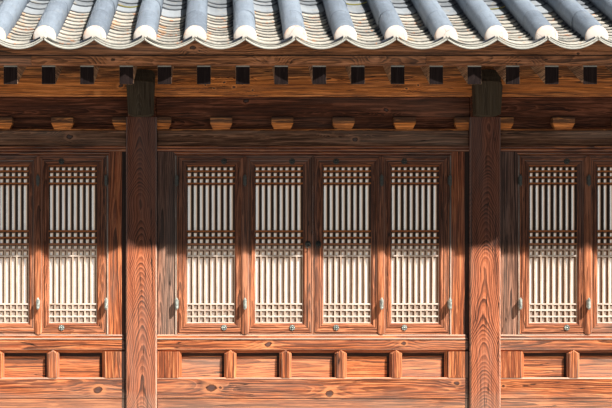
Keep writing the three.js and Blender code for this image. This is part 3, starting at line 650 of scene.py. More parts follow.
# Knots on the front wall's timbers.
SILL_KNOTS = [(-0.720, 0.018, 0.486, 0.027), (-0.655, 0.018, 0.489, 0.009), (-0.318, 0.018, 0.792, 0.018),
              (0.115, 0.018, 0.445, 0.022), (1.010, 0.018, 0.520, 0.014), (0.640, 0.018, 0.800, 0.012),
              (-1.52, 0.018, 0.470, 0.024)]
STRIP_KNOTS = [(-1.36, -0.53, 2.72, 0.019), (-0.32, -0.53, 2.715, 0.014), (0.36, -0.53, 2.72, 0.015),
               (1.35, -0.53, 2.71, 0.014), (-0.834, -0.53, 2.803, 0.016)]
BEARER_KNOTS = [(-0.475, 0.049, 2.515, 0.014), (0.52, 0.049, 2.45, 0.014)]
TIE_KNOTS = [(-1.72, 0.034, 2.26, 0.016), (0.30, 0.034, 2.24, 0.014)]
PURLIN_KNOTS = [(x, 0.009, z, size) for x, z, size in (
    (-0.765, 2.625, 0.007), (-0.700, 2.600, 0.006), (-0.63, 2.64, 0.007), (-0.560, 2.605, 0.008),
    (-0.500, 2.632, 0.007), (-0.430, 2.590, 0.006), (-1.36, 2.62, 0.013), (0.66, 2.60, 0.007),
    (0.74, 2.625, 0.006))]
LATTICE = dict(grey=0.0, rings=400.0, strength=0.25, depth=0.0002, painted_eave_shade=1.0, lined=0.4, checks=0.0)

PINE = wood("pine", (0.83, 0.222, 0.062), (0.43, 0.098, 0.034), (0.095, 0.027, 0.013), grey=0.32,
            rings=85.0, depth=0.0018, painted_eave_shade=0.72, splash=0.7, knots=SILL_KNOTS)
POST_PINE = wood("post_pine", (0.74, 0.218, 0.086), (0.43, 0.114, 0.050), (0.070, 0.022, 0.013), grey=0.3,
                 rings=95.0, strength=0.9, depth=0.0018, lined=0.35, painted_eave_shade=0.9, splash=0.5, arches=0.36)
BARGE_PINE = wood("barge_pine", (0.60, 0.225, 0.100), (0.34, 0.110, 0.048), (0.10, 0.035, 0.020), grey=0.6,
                  rings=90.0)
LEAF_PINE = wood("leaf_pine", (0.69, 0.222, 0.084), (0.40, 0.110, 0.042), (0.105, 0.032, 0.016), grey=0.32,
                 rings=170.0, strength=0.9, painted_eave_shade=0.84)
# Above the line of the eave's shadow painted shade turns the uprights near-black and the cross bars orange,
# painted light bounced up onto them.
LATTICE_PINE = wood("lattice_pine", (0.76, 0.600, 0.460), (0.33, 0.130, 0.045), (0.22, 0.10, 0.045),
                    tint=(0.030, 0.024, 0.026), **LATTICE)
CROSS_PINE = wood("cross_pine", (0.86, 0.740, 0.620), (0.38, 0.150, 0.050), (0.24, 0.11, 0.050),
                  tint=(0.40, 0.155, 0.050), **LATTICE)
BLEACHED_PINE = wood("bleached_pine", (0.66, 0.50, 0.38), (0.44, 0.29, 0.20), (0.20, 0.11, 0.07), grey=0.3,
                     rings=400.0, strength=0.5, depth=0.0006, painted_eave_shade=0.85)
GREY_PINE = wood("grey_pine", (0.48, 0.225, 0.130), (0.26, 0.110, 0.068), (0.05, 0.024, 0.016), grey=0.42,
                 rings=85.0, depth=0.0018, painted_eave_shade=0.88, splash=0.5)
PALE_PINE = wood("pale_pine", (0.52, 0.310, 0.165), (0.28, 0.145, 0.075), (0.10, 0.048, 0.026), rings=90.0)
STRIP_PINE = wood("strip_pine", (0.40, 0.150, 0.052), (0.16, 0.056, 0.022), (0.040, 0.016, 0.008),
                  knots=STRIP_KNOTS)
DARK_PINE = wood("dark_pine", (0.175, 0.052, 0.019), (0.070, 0.023, 0.011), (0.020, 0.008, 0.005), grey=0.1,
                 gloss=0.15, knots=BEARER_KNOTS)
TIE_PINE = wood("tie_pine", (0.195, 0.094, 0.050), (0.085, 0.038, 0.020), (0.024, 0.011, 0.007), grey=0.3,
                gloss=0.15, knots=TIE_KNOTS)
PURLIN_PINE = wood("purlin_pine", (0.76, 0.230, 0.038), (0.15, 0.066, 0.028), (0.065, 0.021, 0.008), grey=0.1,
                   knots=PURLIN_KNOTS)
HEAD_PINE = wood("head_pine", (0.066, 0.049, 0.030), (0.042, 0.032, 0.021), (0.022, 0.017, 0.012), grey=0.0,
                 strength=0.5, depth=0.0006, gloss=0.1, lined=0.4)
END_PINE = wood("end_pine", (0.026, 0.016, 0.014), (0.013, 0.009, 0.009), (0.008, 0.005, 0.005), grey=0.0,
                depth=0.0006, gloss=0.05, lined=0.5)
RIB_CLAY = fired_clay("rib_clay", (0.21, 0.255, 0.31), (0.125, 0.155, 0.195), (0.26, 0.27, 0.26), 0.25,
                      drips=0.3)
CHANNEL_CLAY = fired_clay("channel_clay", (0.425, 0.395, 0.335), (0.185, 0.185, 0.170), (0.48, 0.20, 0.085),
                          0.75, 0.45)
UPPER_CLAY = fired_clay("upper_clay", (0.27, 0.295, 0.315), (0.14, 0.155, 0.17), (0.40, 0.30, 0.16), 0.25,
                        0.25)
MOSS_CLAY = fired_clay("moss_clay", (0.32, 0.30, 0.07), (0.22, 0.13, 0.04), (0.46, 0.20, 0.06), 0.8)
STAINED_CLAY = fired_clay("stained_clay", (0.48, 0.27, 0.14), (0.38, 0.33, 0.26), (0.60, 0.22, 0.06), 0.9)
LIP_CLAY = fired_clay("lip_clay", (0.44, 0.43, 0.375), (0.26, 0.255, 0.22), (0.42, 0.24, 0.12), 0.3)
LIME = lime("lime", (0.67, 0.645, 0.60), (0.72, 0.43, 0.26), 0.6)
WALL_LIME = lime("wall_lime", (0.50, 0.455, 0.385), (0.42, 0.32, 0.23), 0.35)
PAPER = hanji("hanji")
IRON = iron("iron", (0.24, 0.26, 0.235), (0.66, 0.70, 0.62))
DARK_IRON = iron("dark_iron", (0.030, 0.036, 0.033), (0.13, 0.15, 0.13))
STONE = granite("stone", (0.27, 0.258, 0.240))


# The wall of one bay. In each outline the last number of a point is its tone.

# Finishes of the bay's pieces, each line in the order of one piece's materials.
PLAIN, GREYED, BLEACHED = range(3)
LEAF_WOOD, BAR_WOOD, CROSS_WOOD = range(3)
PALE_IRON, BLACK_IRON = range(2)
BEARER_WOOD, BLOCK_WOOD, TIE_WOOD = range(3)

# The width of the painted shadow that a post casts on the bay's timbers beside it.
POST_SHADOW_WIDTH = 0.028
SILL_END = HALF_BAY - 0.002
# In the rails' outlines the upper edges and beads are paler, worn and with a painted highlight, and the
# undersides and grooves darker, painted shade.
LOW_RAIL_OUTLINE = [
    (RAIL_BACK, FLOOR_TOP, 0.0), (0.022, FLOOR_TOP, -0.7), (RAIL_DEPTH, FLOOR_TOP + 0.004, 0.6),
    (RAIL_DEPTH, FLOOR_TOP + 0.008, 0.0), (RAIL_DEPTH, 0.547, 0.0), (RAIL_DEPTH, 0.5505, 1.2),
    (0.0195, 0.5555, 1.3), (0.024, LOW_RAIL_TOP, 1.2), (0.030, LOW_RAIL_TOP, 0.3),
    (RAIL_BACK, LOW_RAIL_TOP, 0.0)]
HIGH_RAIL_OUTLINE = [
    (RAIL_BACK, HIGH_RAIL_LOW, -1.0), (0.040, HIGH_RAIL_LOW, -0.9), (0.0385, 0.732, 0.6),
    (0.0365, 0.734, 0.0), (0.0195, 0.7552, -0.2), (RAIL_DEPTH, 0.757, 0.9),
    (RAIL_DEPTH, 0.7595, 0.9), (RAIL_DEPTH, 0.762, 0.0),
    (RAIL_DEPTH, 0.817, 0.1), (0.0245, 0.820, -1.0), (0.0245, 0.825, -1.0), (0.018, 0.8275, 1.1),
    (0.017, 0.829, 1.3), (0.017, 0.8365, 1.3), (0.022, 0.839, -0.2), (0.022, 0.843, -0.3),
    (0.022, 0.849, 0.2), (0.022, 0.856, 1.2), (0.026, HIGH_RAIL_TOP, 1.2), (RAIL_BACK, HIGH_RAIL_TOP, 0.0)]


def panelled_sill(mesh):
    """Sill, low rail, five sunk panels between pointed studs, and the moulded upper rail.
    Each runs on to its right end in a near-black piece, painted shadow where the post shades it."""
    post_shadow = SILL_END - POST_SHADOW_WIDTH
    low, high = (SILL_DEPTH, STONE_TOP), (0.218, FLOOR_TOP - 0.0015)
    board(mesh, (-SILL_END, *low), (post_shadow, *high), X, 0.004)
    board(mesh, (post_shadow, *low), (SILL_END, *high), X, 0.0005, tone=-1.2)
    for outline, tone in ((LOW_RAIL_OUTLINE, None), (HIGH_RAIL_OUTLINE, 0.45)):
        run(mesh, outline, -SILL_END, post_shadow, X, tone=tone)
        run(mesh, outline, post_shadow, SILL_END, X, tone=-2.2)
    pitch = PANEL_WIDTH + PANEL_STUD
    field = (PANELS * pitch - PANEL_STUD) / 2
    for i in range(PANELS):
        sunk_panel(mesh, -field + i * pitch)
    for i in range(1, PANELS):
        stud(mesh, -field + i * pitch - PANEL_STUD, -field + i * pitch)
    for side in (-1, 1):
        end_stud(mesh, side, field, SILL_END)


def sunk_panel(mesh, x):
    """A thin board between the rails, with painted shade along its top and sides, deepest along its top and
    right side, where the rail and the stud shade it.
    """
    across = np.array([-0.004, 0.0, 0.003, 0.012, 0.1515, 0.283, 0.287, 0.303, 0.307])
    up = [*(LOW_RAIL_TOP + np.array([-0.004, 0.0, 0.004, 0.02])), 0.65, 0.699, 0.704, 0.708, HIGH_RAIL_LOW,
          HIGH_RAIL_LOW + 0.004]
    sheet = sheet_of(x + across, up, PANEL_DEPTH + dice.uniform(0.0, 0.002))
    tone = dice.uniform(0.9, 1.25)
    shade = np.full(sheet.shape[:2], tone)
    shade[:, :2] -= 1.0
    shade[:, -3:] -= 2.1
    shade[-3:] -= 2.1
    shade[-4] -= 0.9
    shade[:2] -= 0.5
    skin(mesh, sheet, shade, grain=log_place(sheet.reshape(-1, 3), X, 0.05))
    back = sheet_of(x + across[::-1], up, RAIL_BACK)
    skin(mesh, back, tone, grain=log_place(back.reshape(-1, 3), X, 0.05))


def end_stud(mesh, side, inner, outer):
    """The broad stud beside a post, chamfered towards the panel."""
    ease = 0.024
    shaded = -1.8 if side > 0 else 0.0
    section = [(inner, RAIL_BACK, -0.8), (inner, STUD_DEPTH + ease, -0.3),
               (inner + 0.001, STUD_DEPTH + ease - 0.003, 0.9),
               (inner + 0.004, STUD_DEPTH + ease - 0.006, 0.0),
               (inner + ease - 0.002, STUD_DEPTH + 0.002, 0.1), (inner + ease, STUD_DEPTH, 1.0),
               (inner + ease + 0.003, STUD_DEPTH, 1.0), (inner + ease + 0.006, STUD_DEPTH, 0.0),
               (outer - 0.030, STUD_DEPTH, 0.0), (outer - 0.028, STUD_DEPTH, shaded),
               (outer, STUD_DEPTH, shaded), (outer, RAIL_BACK, 0.0)]
    run(mesh, mirrored(section, side), LOW_RAIL_TOP, HIGH_RAIL_LOW + 0.012, Z, 0.06)


def mirrored(outline, side):
    """An outline as it is on the right (side 1), or mirrored to the left (side -1)."""
    return [(side * point[0], *point[1:]) for point in outline]


def stud(mesh, x0, x1):
    """A short stud with chamfered sides and a pointed head let into the rail."""
    middle = (x0 + x1) / 2
    shoulder = HIGH_RAIL_LOW - 0.002
    ease, worn = 0.017, 0.003
    rings, shades = [], []
    for inset, depth, shade in ((0, RAIL_BACK, -0.8), (0, STUD_DEPTH + ease, -0.3),
                                (0.0015, STUD_DEPTH + ease - 0.002, 1.2),
                                (0.004, STUD_DEPTH + ease - 0.005, 0.1),
                                (ease - 0.002, STUD_DEPTH + 0.0015, 0.2), (ease, STUD_DEPTH, 1.2),
                                (ease + worn, STUD_DEPTH - 0.0002, 0.0)):
        left, right = x0 + inset, x1 - inset
        rings.append([(left, depth, LOW_RAIL_TOP), (right, depth, LOW_RAIL_TOP), (right, depth, shoulder),
                      (middle, depth, HIGH_RAIL_LOW + 0.030 - inset * 0.6), (left, depth, shoulder)])
        shades += [shade] * len(rings[-1])
    points, faces = loft(rings)
    tone = dice.uniform(0.2, 0.6)
    mesh.add(points, faces, log_place(points, Z, 0.05), np.array(shades) + tone)


MITRE = 0.026
OPENING = HALF_BAY - JAMB
# In the head's outlines the beads are paler, worn and with a painted highlight, and the grooves darker,
# painted shade.
LOW_HEAD_OUTLINE = [
    (RAIL_BACK, HEAD_LOW, -0.8), (0.036, HEAD_LOW, -0.5), (0.036, 2.138, -1.0), (0.029, 2.141, 0.9),
    (0.029, 2.146, 0.1), (0.029, 2.149, 0.0), (0.034, 2.151, -1.2), (0.034, 2.154, -1.2),
    (RAIL_BACK, HEAD_LOW + MITRE, -0.8)]
HIGH_HEAD_OUTLINE = [
    (RAIL_BACK, 2.154, -0.8), (0.031, 2.154, -1.1), (0.031, 2.158, -1.1), (0.023, 2.161, 1.0),
    (0.023, 2.165, 0.2), (0.023, 2.172, 0.0), (0.028, 2.174, -1.2), (0.028, 2.178, -1.2),
    (RAIL_DEPTH, 2.181, 0.9), (RAIL_DEPTH, 2.185, 0.0), (RAIL_DEPTH, HEAD_TOP, 0.0),
    (RAIL_BACK, HEAD_TOP, 0.0)]


def opening_surround(mesh):
    """Jambs with a bleached inner bead, mitred at their tops with the stepped head."""
    def jamb_top(x, _):
        return HEAD_LOW + min(abs(x) - OPENING, MITRE)

    def head_end(_, z):
        return OPENING + z - HEAD_LOW

    # Each jamb darkens towards its post: painted shade, a wide painted shadow beside the right post and a
    # thin dark line beside the left one.
    for side, post_shadow, finish in ((-1, 0.004, GREYED), (1, 0.031, PLAIN)):
        outline = [(OPENING, JAMB_DEPTH, 0.0), (OPENING + MITRE, JAMB_DEPTH, 0.0),
                   (HALF_BAY - post_shadow - 0.003, JAMB_DEPTH, 0.0), (HALF_BAY - post_shadow, JAMB_DEPTH, -1.7),
                   (HALF_BAY, JAMB_DEPTH, -1.9), (HALF_BAY, RAIL_BACK, 0.0),
                   (OPENING + MITRE, RAIL_BACK, 0.0), (OPENING, RAIL_BACK, 0.0)]
        run(mesh, mirrored(outline, side), HIGH_RAIL_TOP, jamb_top, Z, 0.07, None, finish)
        board(mesh, (side * OPENING, JAMB_DEPTH - 0.007, HIGH_RAIL_TOP + 0.001),
              (side * (OPENING + 0.011), JAMB_DEPTH + 0.01, HEAD_LOW), Z, 0.003, 0.05, 0.85, front=BLEACHED)
    run(mesh, LOW_HEAD_OUTLINE, lambda *point: -head_end(*point), head_end, X, tone=0.8)
    run(mesh, HIGH_HEAD_OUTLINE, -HALF_BAY, HALF_BAY, X, tone=0.8)


# Section of a leaf's frame: a share of its width, from the outer edge, a depth and a tone.
# Its ridges are paler, worn and with a painted highlight, and its grooves darker, painted shade.
LEAF_PROFILE = [(0.0, 0.066, -0.5), (0.0, 0.0308, 0.0), (0.02, 0.0300, 0.9), (0.05, 0.0300, 0.9),
                (0.07, 0.0302, 0.1), (0.125, 0.0302, 0.0), (0.135, 0.0350, -1.1), (0.185, 0.0350, -1.1),
                (0.195, 0.0308, 0.9), (0.23, 0.0300, 0.9), (0.25, 0.0298, 0.0), (0.46, 0.0298, 0.1),
                (0.50, 0.0302, 0.8), (0.53, 0.0312, 0.8), (0.54, 0.0362, -1.1), (0.59, 0.0362, -1.1),
                (0.60, 0.0318, 0.6), (0.63, 0.0312, 0.6), (0.65, 0.0312, -0.1), (0.83, 0.0325, -0.1),
                (0.85, 0.0370, -0.6), (0.97, 0.0440, 0.0), (1.0, 0.0470, -0.9), (1.0, 0.066, -1.0)]

# Sections of the bars: an offset, a depth and a tone. Their flanks are darker, painted shade, most on an
# upright's left and under a cross bar.
UPRIGHT = [(-0.0082, 0.0618, -0.9), (-0.0060, BAR_FRONT + 0.0006, -0.7), (-0.0053, BAR_FRONT, 0.3),
           (0.0050, BAR_FRONT, 0.4), (0.0058, BAR_FRONT + 0.001, 0.2), (0.0064, 0.0618, -0.6)]
CROSS_BAR = [(-0.0090, 0.0618, -0.9), (-0.0055, BAR_FRONT, -0.7), (-0.0048, BAR_FRONT - 0.0007, 0.3),
             (0.0045, BAR_FRONT - 0.0007, 0.4), (0.0055, BAR_FRONT + 0.001, 0.2), (0.0062, 0.0618, -0.6)]
LET_IN = 0.004


def leaf(timber, paper, x):
    """One lattice leaf: moulded frame, bars and the paper behind them."""
    low, high = HIGH_RAIL_TOP + LEAF_GAP, HEAD_LOW - LEAF_GAP
    half = LEAF / 2
    moulded_frame(timber, (x - half, low), (x + half, high), (STILE, LOW_RAIL, TOP_RAIL), LEAF_PROFILE)
    inner = half - STILE
    z0, z1 = low + LOW_RAIL, high - TOP_RAIL
    uprights = x + np.linspace(-inner, inner, CELLS + 1)
    for bar in uprights:
        bar += dice.uniform(-0.0008, 0.0008)
        run(timber, [(bar + u, depth, shade) for u, depth, shade in UPRIGHT], z0 - LET_IN, z1 + LET_IN, Z,
            0.03, dice.uniform(0.45, 0.75), BAR_WOOD)
    for z in [z0, *BAR_HEIGHTS, z1]:
        z += dice.uniform(-0.001, 0.001)
        run(timber, [(depth, z + v, shade) for v, depth, shade in CROSS_BAR], x - inner - LET_IN,
            x + inner + LET_IN, X, 0.03, dice.uniform(0.45, 0.75), CROSS_WOOD)
    across, shade_across = bar_shade_tones(uprights, 0.0062)
    up, shade_up = bar_shade_tones([z0, *sorted(BAR_HEIGHTS), z1], 0.0052)
    depths = PAPER_DEPTH + dice.uniform(-0.0006, 0.0012, (len(up), len(across)))
    skin(paper, sheet_of(across, up, depths), np.minimum(shade_across, shade_up[:, None]))
    skin(paper, sheet_of(across, up, depths + 0.0025), flip=True)


def bar_shade_tones(bars, half):
    """Places and tones across the paper, painted shade of the bars: darkest against the low side of each bar,
    left of an upright and under a cross bar, clean from there on.
    """
    found = []
    for bar in bars:
        for away, tone in ((0.024, 0.5), (0.0125, 0.10), (0.0070, -0.45), (0.0, -0.5)):
            found.append((bar - half - away, tone))
        found.append((bar + half + 0.0005, 0.5))
    return np.array(sorted(found)).T


def cover_bead(mesh, x):
    """The rounded strip over the joint of two folding leaves, round below and pointed above."""
    half = 0.027
    # In its section the right side is paler, a painted highlight, and both edges by the leaves darker,
    # painted shade.
    section = [(-half, 0.034, -0.9), (-half, 0.0275, -0.4), (-0.025, 0.0245, 0.5), (-0.020, 0.0215, 0.1),
               (-0.011, 0.0192, 0.1), (0, 0.0183, 0.3), (0.011, 0.0192, 0.2), (0.020, 0.0215, 0.4),
               (0.025, 0.0245, 0.9), (half, 0.0275, 0.3), (half, 0.034, -0.9)]

    def foot(u, _):
        return HIGH_RAIL_TOP + 0.002 + 0.020 * (1 - math.sqrt(max(0.0, 1 - ((u - x) / half) ** 2)))

    def head(u, _):
        return HEAD_LOW - 0.002 - 0.9 * abs(u - x)

    run(mesh, [(x + u, depth, shade) for u, depth, shade in section], foot, head, Z, 0.05, 0.55)


KNUCKLE = [(-0.0108, 0.0100), (-0.0098, 0.0118), (0.0098, 0.0118), (0.0108, 0.0100)]
BALL = [(-0.006, 0.0035), (-0.003, 0.0062), (0.001, 0.0066), (0.004, 0.0045), (0.0055, 0.0015)]


def hinge(mesh, x, z):
    """An iron barrel of three knuckles with ball ends, and its two plates."""
    depth = 0.0020
    for knuckle in (-1, 0, 1):
        turned(mesh, KNUCKLE, (x, depth, z + knuckle * 0.0222), Z, 14)
    for end in (-1, 1):
        turned(mesh, mirrored(BALL, end), (x, depth, z + end * 0.0375), Z)
    for side in (-1, 1):
        board(mesh, (x + side * 0.002, 0.0050, z - 0.026), (x + side * 0.0125, 0.0310, z + 0.026), Z, 0.002)


def rosette(mesh, x, z, depth, radius, finish=PALE_IRON):
    """A flower-headed nail: a round plate, eight petals and a boss. The plate is always dark."""
    def knob(profile, centre, sides, finish):
        turned(mesh, [(along, radius * share) for along, share in profile], centre, Y, sides, finish)

    knob([(0.004, 1), (0, 0.96), (-0.003, 0.7)], (x, depth, z), 20, BLACK_IRON)
    for angle in circle(8):
        centre = (x + 0.66 * radius * math.cos(angle), depth - 0.002, z + 0.66 * radius * math.sin(angle))
        knob([(0.003, 0.26), (-0.002, 0.2), (-0.004, 0.08)], centre, 8, finish)
    knob([(0.002, 0.36), (-0.005, 0.28), (-0.008, 0.1)], (x, depth - 0.002, z), 12, finish)


def ring_pull(mesh, x, z):
    """A round plate with a hanging ring."""
    rosette(mesh, x, z, 0.027, 0.0205, BLACK_IRON)
    sides, radius, thick = 8, 0.016, 0.0026
    rings = [[(x + (radius + thick * math.cos(around)) * math.sin(turn), 0.017 + thick * math.sin(around),
               z - 0.014 + (radius + thick * math.cos(around)) * math.cos(turn)) for around in circle(sides)]
             for turn in circle(24)]
    points, faces = loft([*rings, rings[0]], (False, False))
    count = len(points) - sides
    mesh.add(points[:count], [[i % count for i in face] for face in faces], finish=BLACK_IRON)


def leaf_pair(name, place, first, node):
    """Two leaves that fold together, with their cover bead, hinges, nails and ring pull.
    first: 0 for the left pair of the bay's four leaves, 2 for the right pair."""
    timber, paper, metal = Mesh(place), Mesh(place), Mesh(place)
    pair = [(i - 1.5) * (LEAF + LEAF_GAP) for i in (first, first + 1)]
    for x in pair:
        leaf(timber, paper, x)
    joint = sum(pair) / 2
    cover_bead(timber, joint)
    reach = (LEAF + LEAF_GAP) / 2
    if first == 0:
        jamb_edge, nails, pull = pair[0] - reach, 0.093, -0.037
    else:
        jamb_edge, nails, pull = pair[1] + reach, -0.078, 0.037
    for z in HINGE_HEIGHTS:
        hinge(metal, joint, z)
        hinge(metal, jamb_edge, z)
    for x in pair:
        for z in (HIGH_RAIL_TOP + 0.049, HEAD_LOW - 0.042):
            rosette(metal, x + nails, z, 0.0285, 0.0215)
    ring_pull(metal, pull, 1.503)
    timber.build(name + "_wood", [LEAF_PINE, LATTICE_PINE, CROSS_PINE], "timber", [node])
    paper.build(name + "_paper", [PAPER], "paper")
    metal.build(name + "_iron", [IRON, DARK_IRON], "timber", smooth=40)


def bearing_row(mesh):
    """Tie beam, bearing blocks with their filler board, and the bearer."""
    long = BAY / 2 - BEAM_HALF
    for half, front, low, back, high, ease, tone, finish in (
            (HALF_BAY, TIE_DEPTH, HEAD_TOP, 0.184, TIE_TOP, 0.006, 0.45, TIE_WOOD),
            (HALF_BAY, FILLER_DEPTH, TIE_TOP, 0.121, BLOCK_TOP, 0.001, 0.25, BEARER_WOOD),
            (HALF_BAY, TIE_DEPTH + 0.012, TIE_TOP - 0.001, FILLER_DEPTH + 0.001, TIE_TOP + 0.012, 0.003,
             0.35, BLOCK_WOOD),
            (long, BEARER_DEPTH, BLOCK_TOP, BEARER_BACK, BEARER_TOP, 0.006, 0.3, BEARER_WOOD)):
        board(mesh, (-half, front, low), (half, back, high), X, ease, tone=tone, finish=finish)
    for i in range(-3, 3):
        bearing_block(mesh, (i + 0.5) * BAY / 5.6)


def bearing_block(mesh, x):
    """A block with a straight, darker head and a tapered foot, tapered on its front and back too."""
    foot, head, knee, taper = 0.053, 0.0775, TIE_TOP + 0.053, 0.020
    rings, tones = [], []
    # Its tones paint light and shade: paler at its foot and knee, darker up to its top, deepest under the
    # bearer.
    for half, inset, z, tone in ((foot, taper, TIE_TOP, 0.0),
                                 (foot + 0.003, taper - 0.002, TIE_TOP + 0.006, 0.9),
                                 (head, 0, knee, 0.9), (head, 0, knee + 0.003, -0.35),
                                 (head, 0, BLOCK_TOP - 0.010, -0.4), (head - 0.003, 0.003, BLOCK_TOP, -1.3)):
        left, right = max(x - half, -HALF_BAY), min(x + half, HALF_BAY)
        front, back = BLOCK_DEPTH + inset, BLOCK_BACK - inset
        rings.append([(left, front, z), (right, front, z), (right, back, z), (left, back, z)])
        tones += [tone] * 4
    points, faces = loft(rings)
    mesh.add(points, faces, log_place(points, X, 0.08), tones, BLOCK_WOOD)


def bays():
    """Sill, windows and bearing row of every bay."""
    for (side, wall), i in product(WALLS, range(3)):
        place = wall_place((i - 1) * BAY, side)
        bay = f"{wall}_{i + 1}"
        sill = Mesh(place)
        panelled_sill(sill)
        opening_surround(sill)
        sill.build(f"frame_{bay}_wood", [PINE, GREY_PINE, BLEACHED_PINE], "timber", [f"window_frame_{bay}"])
        for first, half in ((0, "left"), (2, "right")):
            leaf_pair(f"leaves_{bay}_{half}", place, first, f"leaf_pair_{bay}_{half}")
        row = Mesh(place)
        bearing_row(row)
        row.build(f"bearing_{bay}_wood", [DARK_PINE, PURLIN_PINE, TIE_PINE], "dark_timber",
                  [f"tie_beam_{bay}"])


def posts():
    """Square posts with eased, worn corners."""
    ease, worn = 0.009, 0.0025
    low, high = -POST / 2, POST / 2
    outline = []
    for x, y, along_x, along_y in ((low, 0, 1, 1), (high, 0, -1, 1), (high, POST, -1, -1),
                                   (low, POST, 1, -1)):
        corner = [(x + along_x * (ease + worn), y, 0.0), (x + along_x * ease, y, 0.9),
                  (x, y + along_y * ease, 0.9), (x, y + along_y * (ease + worn), 0.0)]
        outline += corner if along_x != along_y else corner[::-1]
    for (side, wall), i in product(WALLS, range(4)):
        mesh = Mesh(wall_place((i - 1.5) * BAY, side))
        run(mesh, outline, STONE_TOP, POST_TOP, Z, 0.045, dice.uniform(0.45, 0.65))
        mesh.build(f"post_{wall}_{i + 1}_wood", [POST_PINE], "timber", [f"post_{wall}_{i + 1}"])


# Beams, purlins and gables.

# Finishes of the beams' and the rafters' pieces, each line in the order of one piece's materials.
HEAD_WOOD, BODY_WOOD = range(2)
RAFTER_WOOD, RAFTER_END, FILLING, STRIP, END_HIGHLIGHT = range(5)

# The steps of a beam's head, from the front: where it starts, where it ends and how high it is.
HEAD_STEPS = [(-0.100, -0.072, 2.642), (-0.074, -0.050, 2.672), (-0.052, -0.028, 2.702),
              (-0.030, 0.009, 2.729)]
BEAM_SEAT = HALF_DEPTH - 0.1003
BODY_FACE = FACE - 0.0088


def curved(span, height, power):
    """How far a flattened arch has come in from its crown, at shares of the span."""
    return height * (1 - math.sqrt(max(0, 1 - abs(span) ** power)))


def beams():
    """Beams with carved heads: an arched face and two arched steps up to the purlin."""
    for i in range(4):
        mesh = Mesh()
        x = (i - 1.5) * BAY
        for side in (-1, 1):
            mesh.place = wall_place(x, side)
            beam_head(mesh)
        mesh.place = None
        for low, high, reach in ((POST_TOP, BEARER_TOP, BODY_FACE),
                                 (BEARER_TOP - 0.001, BEAM_TOP, BEAM_SEAT)):
            run(mesh, rectangle(x - BEAM_HALF, x + BEAM_HALF, low, high), -reach, reach, Y, 0.03, 0.5,
                BODY_WOOD)
        if i in (1, 2):
            king_post(mesh, x)
        mesh.build(f"beam_{i + 1}_wood", [HEAD_PINE, DARK_PINE], "dark_timber", [f"beam_{i + 1}"])


def beam_head(mesh):
    """Each step is a paler front edge, a painted highlight, before a slightly wider body, in painted shade
    behind the first step.
    """
    for front, back, top in HEAD_STEPS:
        body_shade = 0.1 if front < -0.09 else -0.55
        for trim, inset, shade in ((0.0, 0.004, 0.45), (0.004, 0.0, body_shade)):
            wide = BEAM_HALF - trim
            arch = [(u * wide, top - trim - curved(u, 0.034, 2.8), shade) for u in np.linspace(1, -1, 17)]
            foot = [(u * wide, POST_TOP + trim + curved(u, 0.036, 4), shade)
                    for u in np.linspace(-1, 1, 17)[1:-1]]
            run(mesh, foot + arch, front + inset, back, Y, 0.06, 0.5, log=Z)


def rectangle(left, right, low, high):
    """The outline of a rectangle."""
    return [(left, low), (right, low), (right, high), (left, high)]


def king_post(mesh, x):
    """The post on a beam that carries the ridge purlin, with a spread foot."""
    right = [(0.24, BEAM_TOP), (0.24, BEAM_TOP + 0.07), (KING_HALF, BEAM_TOP + 0.19),
             (KING_HALF, RIDGE_PURLIN_LOW.z)]
    run(mesh, right + mirrored(right[::-1], -1), x - KING_HALF, x + KING_HALF, X, 0.04, 0.5, BODY_WOOD)


def purlins():
    """Each eave purlin is in three lengths, greyer towards its top; the ridge purlin is in two."""
    end = BARGE_INNER - 0.0003
    near, far, ease = 0.009, 0.209, 0.008
    low, high = BEARER_TOP, PURLIN_TOP
    section = [(near, low + ease, 1.0), (near + ease, low, 1.0), (far - ease, low, 0.9),
               (far, low + ease, 0.9), (far, high - ease, 0.0), (far - ease, high, 0.0),
               (near + ease, high, -0.15), (near, high - ease, -0.15), (near, 2.700, -0.05),
               (near, 2.665, 0.85)]
    for side, wall in WALLS:
        mesh = Mesh(wall_place(0, side))
        for start, stop in pairwise([-end, -BAY / 2, BAY / 2, end]):
            run(mesh, section, start + 0.0005, stop - 0.0005, X, 0.05, 0.0)
        for stub in (-1, 1):
            board(mesh, (stub * (HALF_LENGTH + BEAM_HALF), BEARER_DEPTH, BLOCK_TOP),
                  (stub * (end - 0.13), BEARER_BACK, BEARER_TOP + 0.001), X, 0.005)
        mesh.build(f"purlin_{wall}_wood", [PURLIN_PINE], "timber", [f"purlin_{wall}"])
    mesh = Mesh()
    low, high = RIDGE_PURLIN_LOW, RIDGE_PURLIN_HIGH
    for x in (low.x, high.x):
        board(mesh, (x, low.y, high.z - 0.22), (0, high.y, high.z), X, 0.006)
    board(mesh, (low.x + 0.13, -0.06, low.z), (high.x - 0.13, 0.06, high.z - 0.219), X, 0.005)
    mesh.build("purlin_ridge_wood", [PURLIN_PINE], "timber", ["purlin_ridge"])


def rafter_low(reach):
    """Height of the rafters' undersides at a distance from the house's middle line."""
    return PURLIN_TOP + RAFTER_SLOPE * (HALF_DEPTH + 0.1 - reach)


def rafter_high(reach):
    """Height of the rafters' tops."""
    return rafter_low(reach) + RAFTER_HEIGHT


